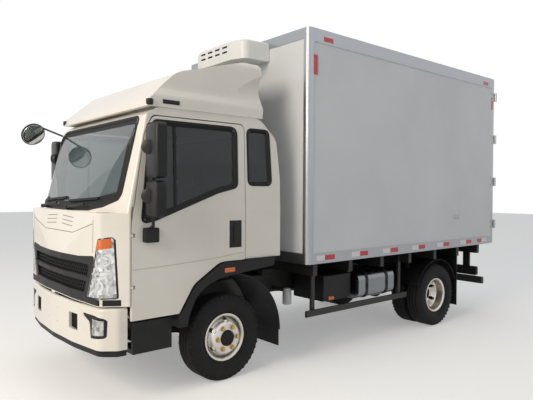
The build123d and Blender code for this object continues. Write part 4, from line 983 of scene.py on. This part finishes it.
# Below the box: tank straps and cap, separator bottle, side marker
tank = {"rows": [(0.435, 0.535, 0.07), (0.985, 0.535, 0.09), (0.985, 0.835, 0.09), (0.435, 0.835, 0.07)],
        "straps": (1.94, 2.31), "strapWide": 0.045, "strapThick": 0.004, "boltX": 0.99, "boltZ": (0.66, 0.71),
        "boltRadius": 0.01, "cap": (0.71, 1.925, 0.87), "capRadius": 0.05, "capHigh": 0.036, "capEdge": 0.008,
        "ribs": 12, "ribUp": 0.004, "ribHigh": 0.026, "ribRadius": 0.005, "ribEdge": 0.001}
tankLoop = roundedLoop(tank["rows"], 8)
made = []
for y in tank["straps"]:
    strap = loopObject(tankLoop, lambda p: spot(p[0], y, p[1]))
    editAll(strap)
    bpy.ops.mesh.extrude_region_move(TRANSFORM_OT_translate={"value": (0, tank["strapWide"], 0)})
    faceOutwards(strap)
    useModifier(strap, "SOLIDIFY", thickness=tank["strapThick"], offset=1)
    low, high = [(tank["boltX"], y + tank["strapWide"] / 2, z) for z in tank["boltZ"]]
    made += [strap, rodAt(low, high, tank["boltRadius"], fineEdge, sides=12)]
finishPiece(joinPieces(made), "tankStraps", blackTrim, "chassis")
foot = spot(*tank["cap"])
made = [turnedRod(foot, foot + Vector((0, 0, tank["capHigh"])), tank["capRadius"], tank["capEdge"], sides=28)]
for point in circlePoints(0, 0, tank["capRadius"], tank["capRadius"], tank["ribs"]):
    rib = foot + Vector((*point, tank["ribUp"]))
    made.append(turnedRod(rib, rib + Vector((0, 0, tank["ribHigh"])), tank["ribRadius"], tank["ribEdge"], sides=8))
finishPiece(joinPieces(made), "tankCap", blackTrim, "chassis")

bottle = {"x": 0.6, "y": 1.054, "rows": [  # low, high, radius, edge
    (0.52, 0.67, 0.05, 0.012), (0.666, 0.7, 0.04, 0.006)], "arm": ((0.374, 1.034, 0.655), (0.6, 1.074, 0.692))}
made = []
for low, high, radius, edge in bottle["rows"]:
    made.append(rodAt((bottle["x"], bottle["y"], low), (bottle["x"], bottle["y"], high), radius, edge, sides=28))
finishPiece(joinPieces(made), "separatorBottle", unitShell, "chassis")
finishPiece(blockAt(*bottle["arm"], softEdge), "separatorArm", chassisPaint, "chassis")
sideMark = {"block": ((0.904, 1.39, 0.572), (0.921, 1.475, 0.61)), "edge": 0.006}
finishPiece(blockAt(*sideMark["block"], sideMark["edge"], 3), "leftSideMarker", amberLens, "chassis")
print("underside dressed")

# Rear: lamp lenses, seals round the leaves, rivets along the rails
rearLamp = {"y": (4.676, 4.687), "z": (0.54, 0.64), "edge": 0.005, "lenses": [
    ((0.735, 0.885), "leftRearRed", redLens, "red_lens"),
    ((0.655, 0.727), "leftRearAmber", amberLens, "lamp"),
    ((0.575, 0.647), "leftRearClear", clearGlintLens, "lamp")]}
(y0, y1), (z0, z1) = rearLamp["y"], rearLamp["z"]
for (x0, x1), name, finish, slotName in rearLamp["lenses"]:
    pane = blockAt((x0, y0, z0), (x1, y1, z1), rearLamp["edge"], 3)
    finishPair(pane, name, finish, "chassis")

seal = {"x": (0.012, 1.04), "z": (1.14, 3.338), "y": (4.686, 4.694), "wide": 0.016, "edge": 0.003}
(x0, x1), (z0, z1), (y0, y1), w = seal["x"], seal["z"], seal["y"], seal["wide"]
sides = [((x0, z0), (x0 + w, z1)), ((x1 - w, z0), (x1, z1)), ((x0, z0), (x1, z0 + w)), ((x0, z1 - w), (x1, z1))]
strips = [blockAt((a, y0, b), (c, y1, d), seal["edge"]) for (a, b), (c, d) in sides]
finishPair(joinPieces(strips), "rearLeftSeal", sealRubber, "rear_left_door")

rivets = {"x": (1.116, 1.1205), "z": (1.045, 3.3), "from": 0.98, "to": 4.58, "pitch": 0.12, "radius": 0.006}
made = []
for z in rivets["z"]:
    y = rivets["from"]
    while y < rivets["to"]:
        start, end = [(x, y, z) for x in rivets["x"]]
        made.append(rodAt(start, end, rivets["radius"], fineEdge, sides=10))
        y += rivets["pitch"]
finishPair(joinPieces(made), "leftRivets", stainless, "chassis")
print("rear dressed")
